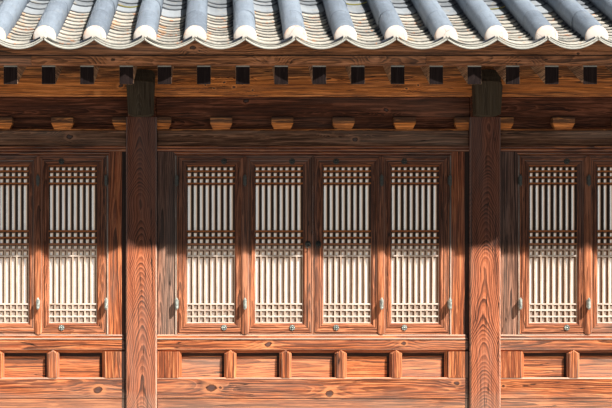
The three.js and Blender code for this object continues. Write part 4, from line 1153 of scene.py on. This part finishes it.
def gables():
    """Gable walls: plaster between sill, rails and a middle post, under the upper gable."""
    half = HALF_DEPTH - POST / 2
    gaps = [(FLOOR_TOP, HIGH_RAIL_LOW), (HIGH_RAIL_TOP, HEAD_TOP), (TIE_TOP, POST_TOP)]
    for side, name in ENDS:
        place = gable_place(side)
        timber, plaster = Mesh(place), Mesh(place)
        board(timber, (-half, SILL_DEPTH, STONE_TOP), (half, POST, FLOOR_TOP), X, 0.005)
        for low, high in ((HIGH_RAIL_LOW, HIGH_RAIL_TOP), (HEAD_TOP, TIE_TOP)):
            board(timber, (-half, SILL_DEPTH, low), (half, 0.174, high), X, 0.005)
        board(timber, (-POST / 2, 0.0, STONE_TOP), (POST / 2, POST, POST_TOP), Z, 0.009, 0.035)
        for (low, high), (start, end) in product(gaps, ((-half, -POST / 2), (POST / 2, half))):
            plaster_field(plaster, start, end, low, high)
        timber.build(f"gable_{name}_wood", [PINE], "timber", [f"gable_wall_{name}"])
        plaster.build(f"gable_{name}_plaster", [WALL_LIME], "plaster", smooth=30)
        upper_gable(name, place)


def plaster_field(mesh, x0, x1, z0, z1):
    """A plastered panel, slightly proud and wavy in the middle, with soft edges at the timbers."""
    front, back = 0.064, 0.154
    across = np.linspace(x0, x1, 22)
    up = np.linspace(z0, z1, max(5, int((z1 - z0) / 0.07)))
    edge = np.minimum(np.minimum(across - x0, x1 - across), np.minimum(up - z0, z1 - up)[:, None])
    crown = 0.006 * np.minimum(edge / 0.05, 1)
    skin(mesh, sheet_of(across, up, front - crown + dice.uniform(-0.0008, 0.0008, crown.shape)))
    skin(mesh, sheet_of(across, up, back), flip=True)


def upper_gable(name, place):
    """Plaster between the beam, the king post and the rafters, with its timbers."""
    plaster, timber = Mesh(place), Mesh(place)
    middle = POST / 2
    seat, purlin_side = HALF_DEPTH - 0.1006, 0.1003
    low = RIDGE_PURLIN_LOW.z
    outline = [(KING_HALF, BEAM_TOP), (seat, BEAM_TOP), (seat, rafter_low(seat) - 0.001),
               (purlin_side, rafter_low(purlin_side) - 0.001), (purlin_side, low), (KING_HALF, low)]
    for turn in (-1, 1):
        run(plaster, mirrored(outline, turn), middle - 0.03, middle + 0.03, Y, 0.1, 0.5)
    board(timber, (-KING_HALF, middle - 0.05, BEAM_TOP), (KING_HALF, middle + 0.05, low), Z, 0.006)
    plaster.build(f"gable_panel_{name}_plaster", [WALL_LIME], "plaster", [f"gable_panel_{name}"])
    timber.build(f"gable_king_{name}_wood", [PINE], "timber")


# Eaves. Along the slopes, reach is the distance from the house's middle line.

NEAR_RIDGE = 0.00015
STRIP_FRONT = RAFTER_TIP + 0.010
STRIP_LOW, STRIP_HIGH = 2.686, 2.7525


def roof_timbers():
    """Rafters with dark ends, boarding, filling, eave strip and the scalloped board under the tiles."""
    last = RAFTERS_END
    for side, wall in WALLS:
        mesh = Mesh(slope_place(side))
        for i in range(-RAFTERS_EACH_SIDE, RAFTERS_EACH_SIDE + 1):
            x = i * RAFTER_PITCH + dice.uniform(-0.004, 0.004)
            rafter(mesh, min(max(x, -last + RAFTER_WIDTH / 2), last - RAFTER_WIDTH / 2))
        planks(mesh)
        for start, end in pairwise([-last, -1.9, 0.7, 2.5, last]):
            board(mesh, (start, STRIP_FRONT - 0.06, STRIP_LOW), (end, STRIP_FRONT, STRIP_HIGH - 0.0055), X,
                  0.004, tone=dice.uniform(0.65, 0.95), finish=STRIP)
        # A near-black strip along the eave strip's top: painted shade where it meets the scalloped board.
        board(mesh, (-last, STRIP_FRONT - 0.06, STRIP_HIGH - 0.006), (last, STRIP_FRONT - 0.0015, STRIP_HIGH),
              X, 0.0005, tone=-1.2, finish=STRIP)
        fill = HALF_DEPTH + 0.06
        board(mesh, (-last, fill - 0.08, PURLIN_TOP), (last, fill, rafter_high(fill)), X, 0.002,
              finish=FILLING)
        scalloped_board(mesh)
        mesh.build(f"rafters_{wall}_wood", [PALE_PINE, END_PINE, DARK_PINE, STRIP_PINE, LIP_CLAY],
                   "dark_timber", [f"rafters_{wall}"])


def rafter(mesh, x):
    """A square rafter with a dark end, and over it a pale line: a painted highlight along the top edge of its
    end.
    """
    half, ease = RAFTER_WIDTH / 2, 0.004
    tip, low, high = RAFTER_TIP, rafter_low(RAFTER_TIP), rafter_high(RAFTER_TIP)
    section = [(-half + ease, 0), (half - ease, 0), (half, ease), (half, RAFTER_HEIGHT - ease),
               (half - ease, RAFTER_HEIGHT), (-half + ease, RAFTER_HEIGHT), (-half, RAFTER_HEIGHT - ease),
               (-half, ease)]
    points, faces = loft([[(x + u, reach, z + v) for u, v in section]
                          for reach, z in ((tip - 0.003, low), (NEAR_RIDGE, rafter_low(NEAR_RIDGE)))])
    mesh.add(points, faces, log_place(points, Y, 0.05, Z), dice.uniform(0.2, 0.9))
    board(mesh, (x - half + 0.001, tip - 0.004, low + 0.001), (x + half - 0.001, tip - 0.0005, high - 0.009),
          Z, 0.001, 0.01, dice.uniform(0.2, 0.8), RAFTER_END)
    # A pale sliver over the end: painted highlight.
    board(mesh, (x - half + 0.002, tip - 0.004, high - 0.010), (x + half - 0.002, tip, high - 0.002), X,
          0.001, 0.02, 0.5, END_HIGHLIGHT)


def planks(mesh):
    """Boarding over the rafters, in lengths that break over them."""
    width, thick, gap = 0.2, 0.0199, 0.001
    reach = RAFTER_TIP
    while reach > NEAR_RIDGE + 0.01:
        inner = max(NEAR_RIDGE, reach - width)
        cut = dice.uniform(-2.5, 2.5)
        for start, end in ((-RAFTERS_END, cut), (cut, RAFTERS_END)):
            outline = sloping(reach - gap, inner + gap, rafter_high, 0, thick)
            run(mesh, outline, start + gap, end - gap, X, 0.08, face_axis=Z)
        reach = inner


def sloping(one, other, line, low, high, gap=0.0):
    """The outline of a piece between two reaches, from low to high over a line that slopes.
    gap: how far the piece stays clear of both."""
    return [(one - gap, line(one) + low), (other + gap, line(other) + low), (other + gap, line(other) + high),
            (one - gap, line(one) + high)]


def channel_height(offset):
    """Height of a channel tile's underside over its lowest line, at an offset from its middle."""
    return CHANNEL_DROP * (offset / (RIB_PITCH / 2)) ** 2


def joint_line(reach):
    """Height of the line where rib and channel tiles meet. The roof steepens towards its ridge."""
    inward = EAVE - reach
    curve = (RIDGE_SLOPE - EAVE_SLOPE) / (2 * EAVE)
    return JOINT_AT_EAVE + EAVE_SLOPE * inward + curve * inward * inward


def scalloped_board(mesh):
    """The board under the eave's tiles, cut to their undersides."""
    joint = joint_line(RAFTER_TIP) - 0.0015
    crest = joint - 0.001
    outline = [(-RAFTERS_END, joint - 0.025), (-(RIBS_EACH_SIDE - 0.5) * RIB_PITCH, crest)]
    for i in range(-RIBS_EACH_SIDE + 1, RIBS_EACH_SIDE):
        for offset in np.linspace(-0.5, 0.5, 13)[1:] * RIB_PITCH:
            outline.append((i * RIB_PITCH + offset, crest - CHANNEL_DROP + channel_height(offset)))
    outline += [(RAFTERS_END, joint - 0.025), (RAFTERS_END, STRIP_HIGH - 0.0005),
                (-RAFTERS_END, STRIP_HIGH - 0.0005)]
    run(mesh, outline, RAFTER_TIP - 0.05, RAFTER_TIP, Y, 0.06, 0.95, STRIP, log=X)


# Tiles.

# Finishes of the channel tiles' piece, in the order of its materials.
WEATHERED, LIP, UPPER, MOSS, STAINED = range(5)


def arc(radius, rise, steps, skirt):
    """Half round with straight skirts, from left to right: pairs of offset and height."""
    curve = [(radius * math.cos(a), rise + radius * math.sin(a)) for a in np.linspace(math.pi, 0, steps)]
    return np.array([(-radius, skirt), *curve, (radius, skirt)])


def raised(reach):
    """How far the eave's doubled tile lifts the courses that lie on it."""
    return 0.0155 * np.clip((reach - (EAVE - 0.45)) / 0.33, 0, 1)


def tile_grid(across, rows, tone):
    """Points and tones of a tile from its rows, each a reach, heights and a shade.
    A shade under -0.5 is painted shade, dark whatever the tile's tone."""
    grid = [np.column_stack([across, np.broadcast_to(reach, across.shape), height])
            for reach, height, _ in rows]
    tones = [shade if shade < -0.5 else tone + shade for _, _, shade in rows]
    return np.array(grid), np.array(tones)[:, None]


def channel_row(mesh, x):
    """A row of stacked channel tiles, from the doubled one at the eave up to the ridge."""
    half = 0.148
    offsets = np.array([-half, -0.111, -0.074, -0.037, 0.0, 0.037, 0.062, 0.074, 0.090, half])
    mossy = dice.uniform() < 0.22
    reach = EAVE - 0.012
    for k, exposure in enumerate(COURSES):
        upper = max(reach - exposure * dice.uniform(0.72, 1.28), 0.10)
        shift, skew = dice.uniform(-0.005, 0.005), dice.uniform(-0.03, 0.03)
        local = offsets * dice.uniform(0.955, 1.02)
        thick = dice.uniform(0.010, 0.014)
        bed = channel_height(local) - CHANNEL_DROP
        lip = reach + skew * local + 0.005 * (local / half) ** 2
        low = joint_line(lip) + bed + 0.0095 + raised(lip)
        tone = dice.uniform(0.3, 1.0) if k < DARKER_COURSES else dice.uniform(-0.1, 0.6)
        clay = UPPER if k >= DARKER_COURSES - 1 else WEATHERED
        # The dark rows at the foot of the lip and under the next tile are painted shade.
        rows = [(r, low + lift, shade) for r, lift, shade in (
            (lip - 0.006, 0.0, -1.2), (lip - 0.001, 0.0, -0.9), (lip, 0.0035, -0.1),
            (lip, thick - 0.0025, 0.15), (lip - 0.002, thick, 0.2))]
        rows += [(r, joint_line(r) + bed + lift + raised(r), shade) for r, lift, shade in (
            (upper + 0.014, 0.0090 + thick / 8, 0.0), (upper + 0.003, 0.0078, -0.7),
            (upper - 0.012, 0.0070, -1.2))]
        grid, tones = tile_grid(x + shift + local, rows, tone)
        # Painted shadow of the next rib along the channel's right edge, ragged from course to course.
        rib_shadow = 1.7 * np.clip((local - dice.uniform(0.052, 0.068)) / 0.022, 0, 1)
        skin(mesh, grid, tones - rib_shadow, clay, flip=True)
        if k == DARKER_COURSES and mossy:
            skin(mesh, grid[:4] + (0, 0.0007, -0.0012), dice.uniform(0.2, 0.9), MOSS, flip=True)
        elif 0 < k < DARKER_COURSES - 1 and dice.uniform() < 0.35:
            spread = 3 + int(dice.uniform(0, 1.7))
            skin(mesh, grid[1:6, :spread] + (0, 0.0006, 0.0006), dice.uniform(0.0, 0.6), STAINED, flip=True)
        for edge, flip in ((0, False), (-1, True)):
            _, near_lip, _, _, lip_top, _, _, far = grid[:, edge]
            skin(mesh, [[near_lip, lip_top], [far - (0, 0, 0.012), far]], tone - 0.3, clay, flip=flip)
        reach = upper
        if reach <= 0.11:
            break


def eave_tiles(mesh, x):
    """The two stacked tiles whose ends show at the eave."""
    half = RIB_PITCH / 2 - 0.0025
    offsets = np.linspace(-half, half, 17)
    thick = 0.0112
    back = EAVE - 0.16
    for level in (0, 1):
        shift = dice.uniform(-0.0015, 0.0015)
        front = EAVE + level * (dice.uniform(-0.010, 0.0) - 0.004)
        low = channel_height(offsets) - CHANNEL_DROP + level * 0.0122
        # The dark row at the foot of each lip is painted shade.
        rows = [(r, joint_line(r) + low + lift, shade) for r, lift, shade in (
            (back, 0.0, 0.0), (front - 0.0015, 0.0, -0.2), (front, 0.0016, -1.2), (front, 0.0034, 0.1),
            (front, thick - 0.0015, 0.25), (front - 0.0015, thick, 0.3), (back, thick, 0.1))]
        grid, tones = tile_grid(x + shift + offsets, rows, dice.uniform(0.5, 0.8))
        skin(mesh, grid, tones, LIP)


def rib_row(mesh, x):
    """Rib tiles laid end to end, each a little wider at its lower end, with painted shade on its skirts and
    rims.
    """
    length, steps = 0.335, 13
    reach = EAVE - 0.036
    row_tone = dice.uniform(0.3, 0.8)
    while reach > 0.12:
        upper = max(reach - length * dice.uniform(0.86, 0.94), 0.10)
        shift = dice.uniform(-0.0022, 0.0022)
        lift = dice.uniform(-0.0006, 0.0006)
        tone = row_tone + dice.uniform(-0.2, 0.2)
        rim_shade = 0.0 if reach > EAVE - 0.04 else -0.6
        grid, tones = [], []
        for r, slack, shade in ((reach - 0.0003, 0.0016, rim_shade), (reach, 0.0008, rim_shade / 2),
                                (reach - 0.002, 0.0002, 0.1), (reach - 0.02, 0.0002, 0.0),
                                ((reach + upper) / 2, 0.0008, 0.0), (upper + 0.004, 0.0013, 0.0),
                                (upper - 0.006, 0.0015, -0.6)):
            section = arc(RIB_RADIUS - slack, RIB_RISE + lift, steps, -0.030)
            z = joint_line(r) - 0.0135 * min(max((r - EAVE + 0.30) / 0.264, 0.0), 1.0)
            grid.append([(x + shift + u, r, z + v) for u, v in section])
            tones.append([-0.8, *[tone + shade] * steps, -0.8])
        skin(mesh, grid, tones, flip=True)
        reach = upper


def plaster_disc(mesh, x):
    """The lime plug over a rib's lower end, domed, and cut below by the edges of the channel tiles."""
    reach = EAVE - 0.040
    edge = RIB_RADIUS + 0.0025
    sides = 32
    wobble = dice.uniform(-0.0014, 0.0, sides)
    rings, tones = [], []
    for radius, out, shade in ((RIB_RADIUS - 0.002, -0.004, -0.4), (edge, 0.002, -0.3),
                               (edge - 0.0005, 0.0065, -0.2),
                               (edge - 0.0040, 0.0105, 0.15), (0.060, 0.0150, 0.45), (0.036, 0.0180, 0.5),
                               (0.012, 0.0190, 0.5)):
        ring = []
        for angle, size in zip(circle(sides), radius + wobble):
            u, v = size * math.cos(angle), size * math.sin(angle)
            low = channel_height(RIB_PITCH / 2 - abs(u)) - CHANNEL_DROP + 0.0215
            ring.append((x + u, reach + out + dice.uniform(-0.0006, 0.0006),
                         joint_line(EAVE) + max(RIB_RISE + v, low)))
        rings.append(ring)
        tones += [shade] * sides
    mesh.add(*loft(rings, (False, True)), None, tones)


def clay_bed(mesh):
    """The packed clay that fills the roof between the boarding and the tiles."""
    stations = np.linspace(RAFTER_TIP - 0.055, 0.001, 12)
    low = [(r, rafter_high(r) + 0.0205) for r in stations]
    high = [(r, joint_line(r) - 0.058) for r in stations[::-1]]
    run(mesh, low + high, -RAFTERS_END, RAFTERS_END, X, 0.1, 0.2)


def verge(mesh, discs, side):
    """Short tiles laid across the verge: small ribs with plaster ends over a layer of small channels."""
    inner, outer = 4.160, ROOF_EDGE - 0.004
    pitch, radius = 0.285, 0.052
    count = int(EAVE * 0.98 / pitch)
    for i in range(count):
        reach = EAVE - 0.085 - i * pitch
        if reach < 0.14:
            break
        centre = joint_line(reach) + 0.004
        lean = -(EAVE_SLOPE + (RIDGE_SLOPE - EAVE_SLOPE) * (1 - reach / EAVE))

        def ring(x, section):
            return [(side * x, reach + u, centre + lean * u + v) for u, v in section]

        section = arc(radius, 0.0, 11, -0.03)
        grid = [ring(inner, section), ring(outer - 0.012, section)]
        skin(mesh, grid, dice.uniform(0.2, 0.9), flip=side < 0)
        rings = [ring(outer + out, [(size * math.cos(a), size * math.sin(a)) for a in circle(16)])
                 for size, out in ((radius - 0.001, -0.012), (radius - 0.003, -0.004), (radius * 0.5, 0.0))]
        discs.add(*loft(rings, (False, True)))
    spans = np.linspace(EAVE, 0.02, count * 6)
    outline = [(r, joint_line(r) + 0.002) for r in spans] + [(r, joint_line(r) - 0.024) for r in spans[::-1]]
    run(mesh, outline, side * 4.10, side * outer, X, 0.1, 0.45)


def tile_slopes():
    """Channel tiles, rib tiles and their plaster ends on both slopes."""
    for side, wall in WALLS:
        place = slope_place(side)
        channels, ribs, discs = Mesh(place), Mesh(place), Mesh(place)
        clay_bed(channels)
        for i in range(-RIBS_EACH_SIDE + 1, RIBS_EACH_SIDE):
            channel_row(channels, i * RIB_PITCH)
            eave_tiles(channels, i * RIB_PITCH)
        for i in range(-RIBS_EACH_SIDE, RIBS_EACH_SIDE):
            x = (i + 0.5) * RIB_PITCH
            rib_row(ribs, x)
            plaster_disc(discs, x)
        for end in (-1, 1):
            verge(ribs, discs, end)
        clays = [CHANNEL_CLAY, LIP_CLAY, UPPER_CLAY, MOSS_CLAY, STAINED_CLAY]
        channels.build(f"channel_tiles_{wall}", clays, "tile", [f"tiles_{wall}"])
        ribs.build(f"rib_tiles_{wall}", [RIB_CLAY], "tile", smooth=50)
        discs.build(f"plaster_ends_{wall}", [LIME], "plaster", smooth=50)


# Ridges.

CROWN = joint_line(0) + RIB_RISE + RIB_RADIUS
CAP_BASE = 0.290


def ridge_lift(x):
    """How far the main ridge rises towards its ends."""
    return 0.070 * (x / RIDGE_END) ** 2


def main_ridge(mesh, mortar):
    """Courses of flat tiles with lime between them, capped by a row of rib tiles."""
    end = RIDGE_END
    step = 2 * end / int(2 * end / 0.298)

    def course(z, height, shift, narrow, loose):
        for x0, x1 in lengths(-end, end, step, shift):
            low = CROWN + z + ridge_lift((x0 + x1) / 2)
            half = narrow + loose * dice.uniform()
            board(mesh, (x0 + 0.001, -half, low), (x1 - 0.001, half, low + height), X, 0.004,
                  tone=dice.uniform(0.15, 0.9))

    for j in range(8):
        course(0.056 + j * 0.030, 0.0186, (j % 2) * step / 2, 0.111, 0.005)
    for j, half in enumerate((0.1495, 0.134)):
        course(-0.012 + j * 0.031, 0.019, j * step / 2, half, -0.0025)
    for side in (-1, 1):
        for x0, x1 in lengths(-end, end, RIB_PITCH, RIB_PITCH / 2):
            lying_tile(mesh, x0, x1, side)
    foot = joint_line(0.15) + RIB_RISE - 0.02
    for x0, x1 in pairwise(np.linspace(-end + 0.003, end - 0.003, 25)):
        crown = CROWN + ridge_lift((x0 + x1) / 2)
        board(mortar, (x0, -0.1065, crown + 0.0555), (x1, 0.1065, crown + CAP_BASE), X, 0.0005)
        right = [(0.146, foot), (0.140, crown - 0.010), (0.110, crown + 0.056)]
        run(mortar, right + mirrored(right[::-1], -1), x0, x1, X, 0.1, 0.5)
    cap_row(mesh)


def lying_tile(mesh, x0, x1, side):
    """A half-round tile on its side under the courses, over a flat one that closes the channels."""
    tone = dice.uniform(0.15, 0.9)
    grid = []
    for x in (x0 + 0.0015, x1 - 0.0015):
        middle = CROWN - 0.052 + ridge_lift(x)
        grid.append([(x, side * (0.1345 + 0.016 * math.cos(a)), middle + 0.036 * math.sin(a))
                     for a in np.linspace(-0.5, 0.5, 7) * math.pi])
    skin(mesh, grid, tone, flip=side > 0)
    middle = (x0 + x1) / 2
    board(mesh, (middle - 0.083, side * 0.120, joint_line(0.15) - 0.06),
          (middle + 0.083, side * 0.1475, CROWN - 0.094 + ridge_lift(middle)), X, 0.004, tone=tone - 0.3)


def cap_row(mesh):
    """Half-round tiles end to end along the top of the main ridge."""
    ends = np.linspace(-RIDGE_END, RIDGE_END, int(2 * RIDGE_END / 0.335) + 1)
    for x0, x1 in pairwise(ends):
        tone = dice.uniform(0.2, 0.9)
        grid = []
        for x, radius in ((x0 + 0.001, 0.0805), (x0 + 0.004, 0.083), (x1 - 0.004, 0.083),
                          (x1 - 0.001, 0.0805)):
            base = CROWN + CAP_BASE + ridge_lift(x)
            grid.append([(x, u, base + v) for u, v in arc(radius, 0.0, 13, -0.012)])
        skin(mesh, grid, tone, flip=True)


def ridge_ends(mesh, rims):
    """Upright end tiles of the main ridge, with a raised rim."""
    half, low, high, round_top = 0.146, CROWN + 0.12, CROWN + 0.513, 0.12
    shoulder = high - round_top
    outline = [(-half, low), (half, low), (half, shoulder)]
    outline += [(half * math.cos(a), shoulder + round_top * math.sin(a))
                for a in np.linspace(0.12, 0.88, 9) * math.pi]
    outline = np.array([*outline, (-half, shoulder)])
    centre = np.array([0, (low + high) / 2 - 0.02])
    inner = centre + (outline - centre) * 0.84
    back, front = 4.193, 4.1995
    for side in (-1, 1):
        run(mesh, outline, side * 4.162, side * 4.194, X, 0.1, 0.6)
        rings = [[(side * out, y, z) for y, z in ring]
                 for ring, out in ((outline, back), (outline * (0.99, 1), front),
                                   (inner, front), (inner, back))]
        rims.add(*loft(rings, (False, False)), None, 0.75)


def falling_ridge(mesh, mortar, x):
    """A low ridge down a verge, of the same courses and cap as the main one."""
    start, top = EAVE - 0.33, 0.09
    half, courses, length = 0.079, 5, 0.25
    rise, height = 0.200 / courses, 0.62 * 0.200 / courses
    stations = np.linspace(start, top, int((start - top) / length) + 1)
    for r0, r1 in pairwise(stations):
        core = sloping(r0, r1, joint_line, -0.034, 0.224)
        run(mortar, core, x - half + 0.007, x + half - 0.007, X, 0.1, 0.5)
    for j in range(courses):
        shift = (j % 2) * length / 2
        for r0, r1 in pairwise(stations):
            a, b = min(start, r0 + shift), max(top, r1 + shift)
            if a - b < 0.03:
                continue
            wide = half + dice.uniform(-0.001, 0.0015)
            outline = sloping(a, b, joint_line, 0.020 + j * rise, 0.020 + j * rise + height, 0.001)
            run(mesh, outline, x - wide, x + wide, X, 0.1, dice.uniform(0.15, 0.9))
    for r0, r1 in pairwise(stations):
        grid = []
        for r, radius in ((r0 - 0.001, 0.071), (r0 - 0.004, 0.0735), (r1 + 0.004, 0.0735),
                          (r1 + 0.001, 0.071)):
            grid.append([(x + u, r, joint_line(r) + v) for u, v in arc(radius, 0.225, 11, 0.214)])
        skin(mesh, grid, dice.uniform(0.2, 0.9), flip=True)
    plug = [(x + u, start + 0.0005, joint_line(start) + v) for u, v in arc(0.072, 0.225, 13, 0.02)]
    mortar.add(plug, [tuple(range(len(plug)))])


def ridges():
    """The main ridge with its end tiles, and a falling ridge down each verge of both slopes."""
    tiles, mortar, rims = Mesh(), Mesh(), Mesh()
    main_ridge(tiles, mortar)
    ridge_ends(tiles, rims)
    for side, end in product((-1, 1), (-1, 1)):
        tiles.place = mortar.place = slope_place(side)
        falling_ridge(tiles, mortar, end * (RIBS_EACH_SIDE - 1) * RIB_PITCH)
    tiles.build("ridge_tiles", [RIB_CLAY], "tile", ["ridges"], 40)
    mortar.build("ridge_mortar", [WALL_LIME], "plaster")
    rims.build("ridge_end_rims", [RIB_CLAY], "tile")


# Bargeboards.

BARGE_TIP = 2.477
BARGE_FOOT = 2.531
BARGE_PEAK = 3.470


def bargeboards():
    """Curved boards with the short blocks that carry the verge tiles."""
    lower = np.array([(BARGE_TIP, BARGE_FOOT), (2.150, 2.566), (1.818, 2.650), (0.900, 3.060),
                      (0.0, BARGE_PEAK)])
    reach = np.linspace(BARGE_TIP, 0.0005, 30)
    low = np.interp(-reach, -lower[:, 0], lower[:, 1])
    low = np.convolve(np.pad(low, 2, "edge"), np.ones(5) / 5, "valid")
    low[0], low[-1] = BARGE_FOOT, BARGE_PEAK
    high = joint_line(reach) - 0.0955
    for (side, wall), (end, name) in product(WALLS, ENDS):
        mesh = Mesh(slope_place(side))
        x0, x1 = sorted((end * (BARGE_INNER + 0.0002), end * (BARGE_INNER + 0.0398)))
        points, faces = loft([[(x0, r, z0 + 0.001), (x1, r, z0 + 0.001), (x1, r, z1), (x0, r, z1)]
                              for r, z0, z1 in zip(reach, low, high)])
        grain = np.column_stack([1.12 * points[:, 1] + dice.uniform(0, 60), points[:, 0] - x0 + 0.05,
                                 points[:, 2] - joint_line(points[:, 1]) + 0.16])
        mesh.add(points, faces, grain, 0.55)
        for middle in np.linspace(BARGE_TIP - 0.045, 0.075, 8):
            block = sloping(middle - 0.035, middle + 0.035, joint_line, -0.107, -0.030)
            run(mesh, block, end * BARGE_INNER, end * (BARGE_INNER + 0.126), X, 0.05)
        mesh.build(f"bargeboard_{wall}_{name}_wood", [BARGE_PINE], "timber", [f"bargeboard_{wall}_{name}"])


# Stonework and floor.

KERB = 0.30
STONE_CLEAR = 0.17
LOW_WALL_HALF = 0.06


def stonework():
    """Granite kerbs round the platform, slabs on it, foundation stones and the low wall between them."""
    stone, joints = Mesh(), Mesh()
    half_x, half_y = PLATFORM_HIGH.x, PLATFORM_HIGH.y
    gap = 0.003
    for side in (-1, 1):
        for start, end in uneven(-half_x, half_x, 0.8, 1.25, 0.5):
            board(stone, (start + gap, side * half_y, 0), (end - gap, side * (half_y - KERB), PLATFORM_TOP),
                  X, 0.008)
        for start, end in uneven(-half_y + KERB, half_y - KERB, 0.8, 1.2, 0.5):
            board(stone, (side * half_x, start + gap, 0), (side * (half_x - KERB), end - gap, PLATFORM_TOP),
                  Y, 0.008)
    board(joints, (-half_x + 0.012, -half_y + 0.012, 0.002),
          (half_x - 0.012, half_y - 0.012, PLATFORM_TOP - 0.006), X, 0.001)
    for side in (-1, 1):
        for i in range(4):
            foundation_stone(stone, (i - 1.5) * BAY, side * HALF_DEPTH)
        foundation_stone(stone, side * HALF_LENGTH, 0)
    low_walls(stone, joints)
    stone.build("platform_stones", [STONE], "stone", ["stone_platform"])
    joints.build("platform_mortar", [WALL_LIME], "plaster")


def foundation_stone(mesh, x, y):
    """A rough-hewn stone, wider at its foot, with knocked corners."""
    rings = []
    for half, z in ((0.170, PLATFORM_TOP - 0.02), (0.166, PLATFORM_TOP + 0.02), (0.148, STONE_TOP - 0.02),
                    (0.139, STONE_TOP - 0.004), (0.128, STONE_TOP)):
        ring = []
        for angle in circle(24) + math.pi / 24:
            u, v = math.cos(angle), math.sin(angle)
            size = half * (u ** 8 + v ** 8) ** (-1 / 8) * dice.uniform(0.985, 1.0)
            ring.append((x + size * u, y + size * v, z))
        rings.append(ring)
    mesh.add(*loft(rings, (False, True)), None, dice.uniform(0.3, 0.8))


def low_walls(stone, joints):
    """Two courses of small stones in lime between the foundation stones."""
    for side in (-1, 1):
        for i in range(3):
            start = (i - 1.5) * BAY + STONE_CLEAR
            small_stones(stone, joints, start, start + BAY - 2 * STONE_CLEAR, side * HALF_DEPTH, X)
        for turn in (-1, 1):
            start, end = sorted((turn * STONE_CLEAR, turn * (HALF_DEPTH - STONE_CLEAR)))
            small_stones(stone, joints, start, end, side * HALF_LENGTH, Y)


def small_stones(stone, joints, start, end, line, axis):
    """A stretch of low wall along an axis, over a line of the other axis."""
    half = LOW_WALL_HALF

    def corners(a, b, near, far, low, high):
        one, other = (a, line + near), (b, line + far)
        return ((*one, low), (*other, high)) if axis == X else ((*one[::-1], low), (*other[::-1], high))

    core = corners(start - 0.02, end + 0.02, -half + 0.006, half - 0.006, PLATFORM_TOP - 0.01, STONE_TOP)
    board(joints, *core, axis, 0.001)
    for low, high in ((PLATFORM_TOP, 0.202), (0.208, STONE_TOP)):
        for a, b in uneven(start, end, 0.12, 0.26, 0.08):
            near, far = -half + dice.uniform(0, 0.003), half - dice.uniform(0, 0.003)
            board(stone, *corners(a + 0.004, b - 0.004, near, far, low, high), axis, 0.006)


def floor_boards():
    """Floor planks on joists."""
    mesh = Mesh()
    half_x, half_y = HALF_LENGTH - POST / 2, HALF_DEPTH - POST / 2
    for x0, x1 in lengths(-half_x, half_x, 0.24):
        board(mesh, (x0 + 0.0008, -half_y, FLOOR_TOP - 0.06), (x1 - 0.0008, half_y, FLOOR_TOP), Y, 0.002,
              face_axis=Z)
    for x in np.linspace(-half_x + 0.04, half_x - 0.04, 9):
        board(mesh, (x - 0.04, -half_y, FLOOR_TOP - 0.139), (x + 0.04, half_y, FLOOR_TOP - 0.0605), Y, 0.003)
    mesh.build("floor_wood", [PALE_PINE], "timber", ["floor"])


# Studio.

CAMERA_PLACE = (-0.643, -10.227, 1.600)
CAMERA_LENS = 69.3
CAMERA_SHIFT = (0.137, 0.0425)


def camera():
    """Low before the house and a little to the left of its middle."""
    data = bpy.data.cameras.new("camera")
    data.lens = CAMERA_LENS
    data.sensor_width = 36
    data.shift_x, data.shift_y = CAMERA_SHIFT
    data.clip_end = 200
    eye = linked("camera", data)
    eye.location = CAMERA_PLACE
    eye.rotation_euler = (math.radians(90), 0, 0)
    bpy.context.scene.camera = eye


def light(name, kind, place, power, colour, target=(0, 0, 0), **settings):
    """A light at a place, turned to a target."""
    data = bpy.data.lights.new(name, kind)
    data.energy = power
    data.color = colour
    for key, value in settings.items():
        setattr(data, key, value)
    source = linked(name, data)
    source.location = place
    source.rotation_euler = (Vector(target) - Vector(place)).to_track_quat("-Z", "Y").to_euler()


def ground():
    """A wide plain floor, which isn't part of the house."""
    half = 90
    data = bpy.data.meshes.new("studio_floor")
    data.from_pydata([(-half, -half, 0), (half, -half, 0), (half, half, 0), (-half, half, 0)], [],
                     [(0, 1, 2, 3)])
    s = Shader("studio_floor")
    earth = s.mix(s.noise(s.place(), 0.6), (0.235, 0.230, 0.220), (0.255, 0.250, 0.240))
    data.materials.append(s.finish(earth, 0.85))
    floor = linked("studio_floor", data)
    floor.location.z = -0.002


def sky():
    """Soft light from all round, stronger from low down."""
    world = bpy.data.worlds.new("studio")
    world.use_nodes = True
    tree = world.node_tree
    background = tree.nodes["Background"]
    where = tree.nodes.new("ShaderNodeTexCoord")
    split = tree.nodes.new("ShaderNodeSeparateXYZ")
    fade = tree.nodes.new("ShaderNodeMapRange")
    fade.interpolation_type = "SMOOTHSTEP"
    for socket, value in zip(list(fade.inputs)[1:5], (0.0, 0.55, 0.33, 0.055)):
        socket.default_value = value
    tree.links.new(where.outputs["Generated"], split.inputs[0])
    tree.links.new(split.outputs[2], fade.inputs[0])
    tree.links.new(fade.outputs[0], background.inputs[1])
    background.inputs[0].default_value = (0.92, 0.95, 1.0, 1)
    bpy.context.scene.world = world


def studio():
    """A hard sun from the right, a soft one from behind, a fill from the left, and the sky."""
    ground()
    light("key", "SUN", (11.0, -8.4, 17.0), 9.7, (1.0, 0.955, 0.90), angle=math.radians(0.7))
    light("back", "SUN", (-7, 14, 7.5), 2.4, (0.97, 0.98, 1.0), angle=math.radians(22))
    light("fill", "AREA", (-15, -3.5, 6), 280, (0.94, 0.97, 1.0), (-4, 0, 2), shape="DISK", size=9)
    sky()
    bpy.context.scene.view_settings.view_transform = "Standard"


camera()
studio()
bays()
posts()
beams()
purlins()
gables()
roof_timbers()
tile_slopes()
ridges()
bargeboards()
stonework()
floor_boards()
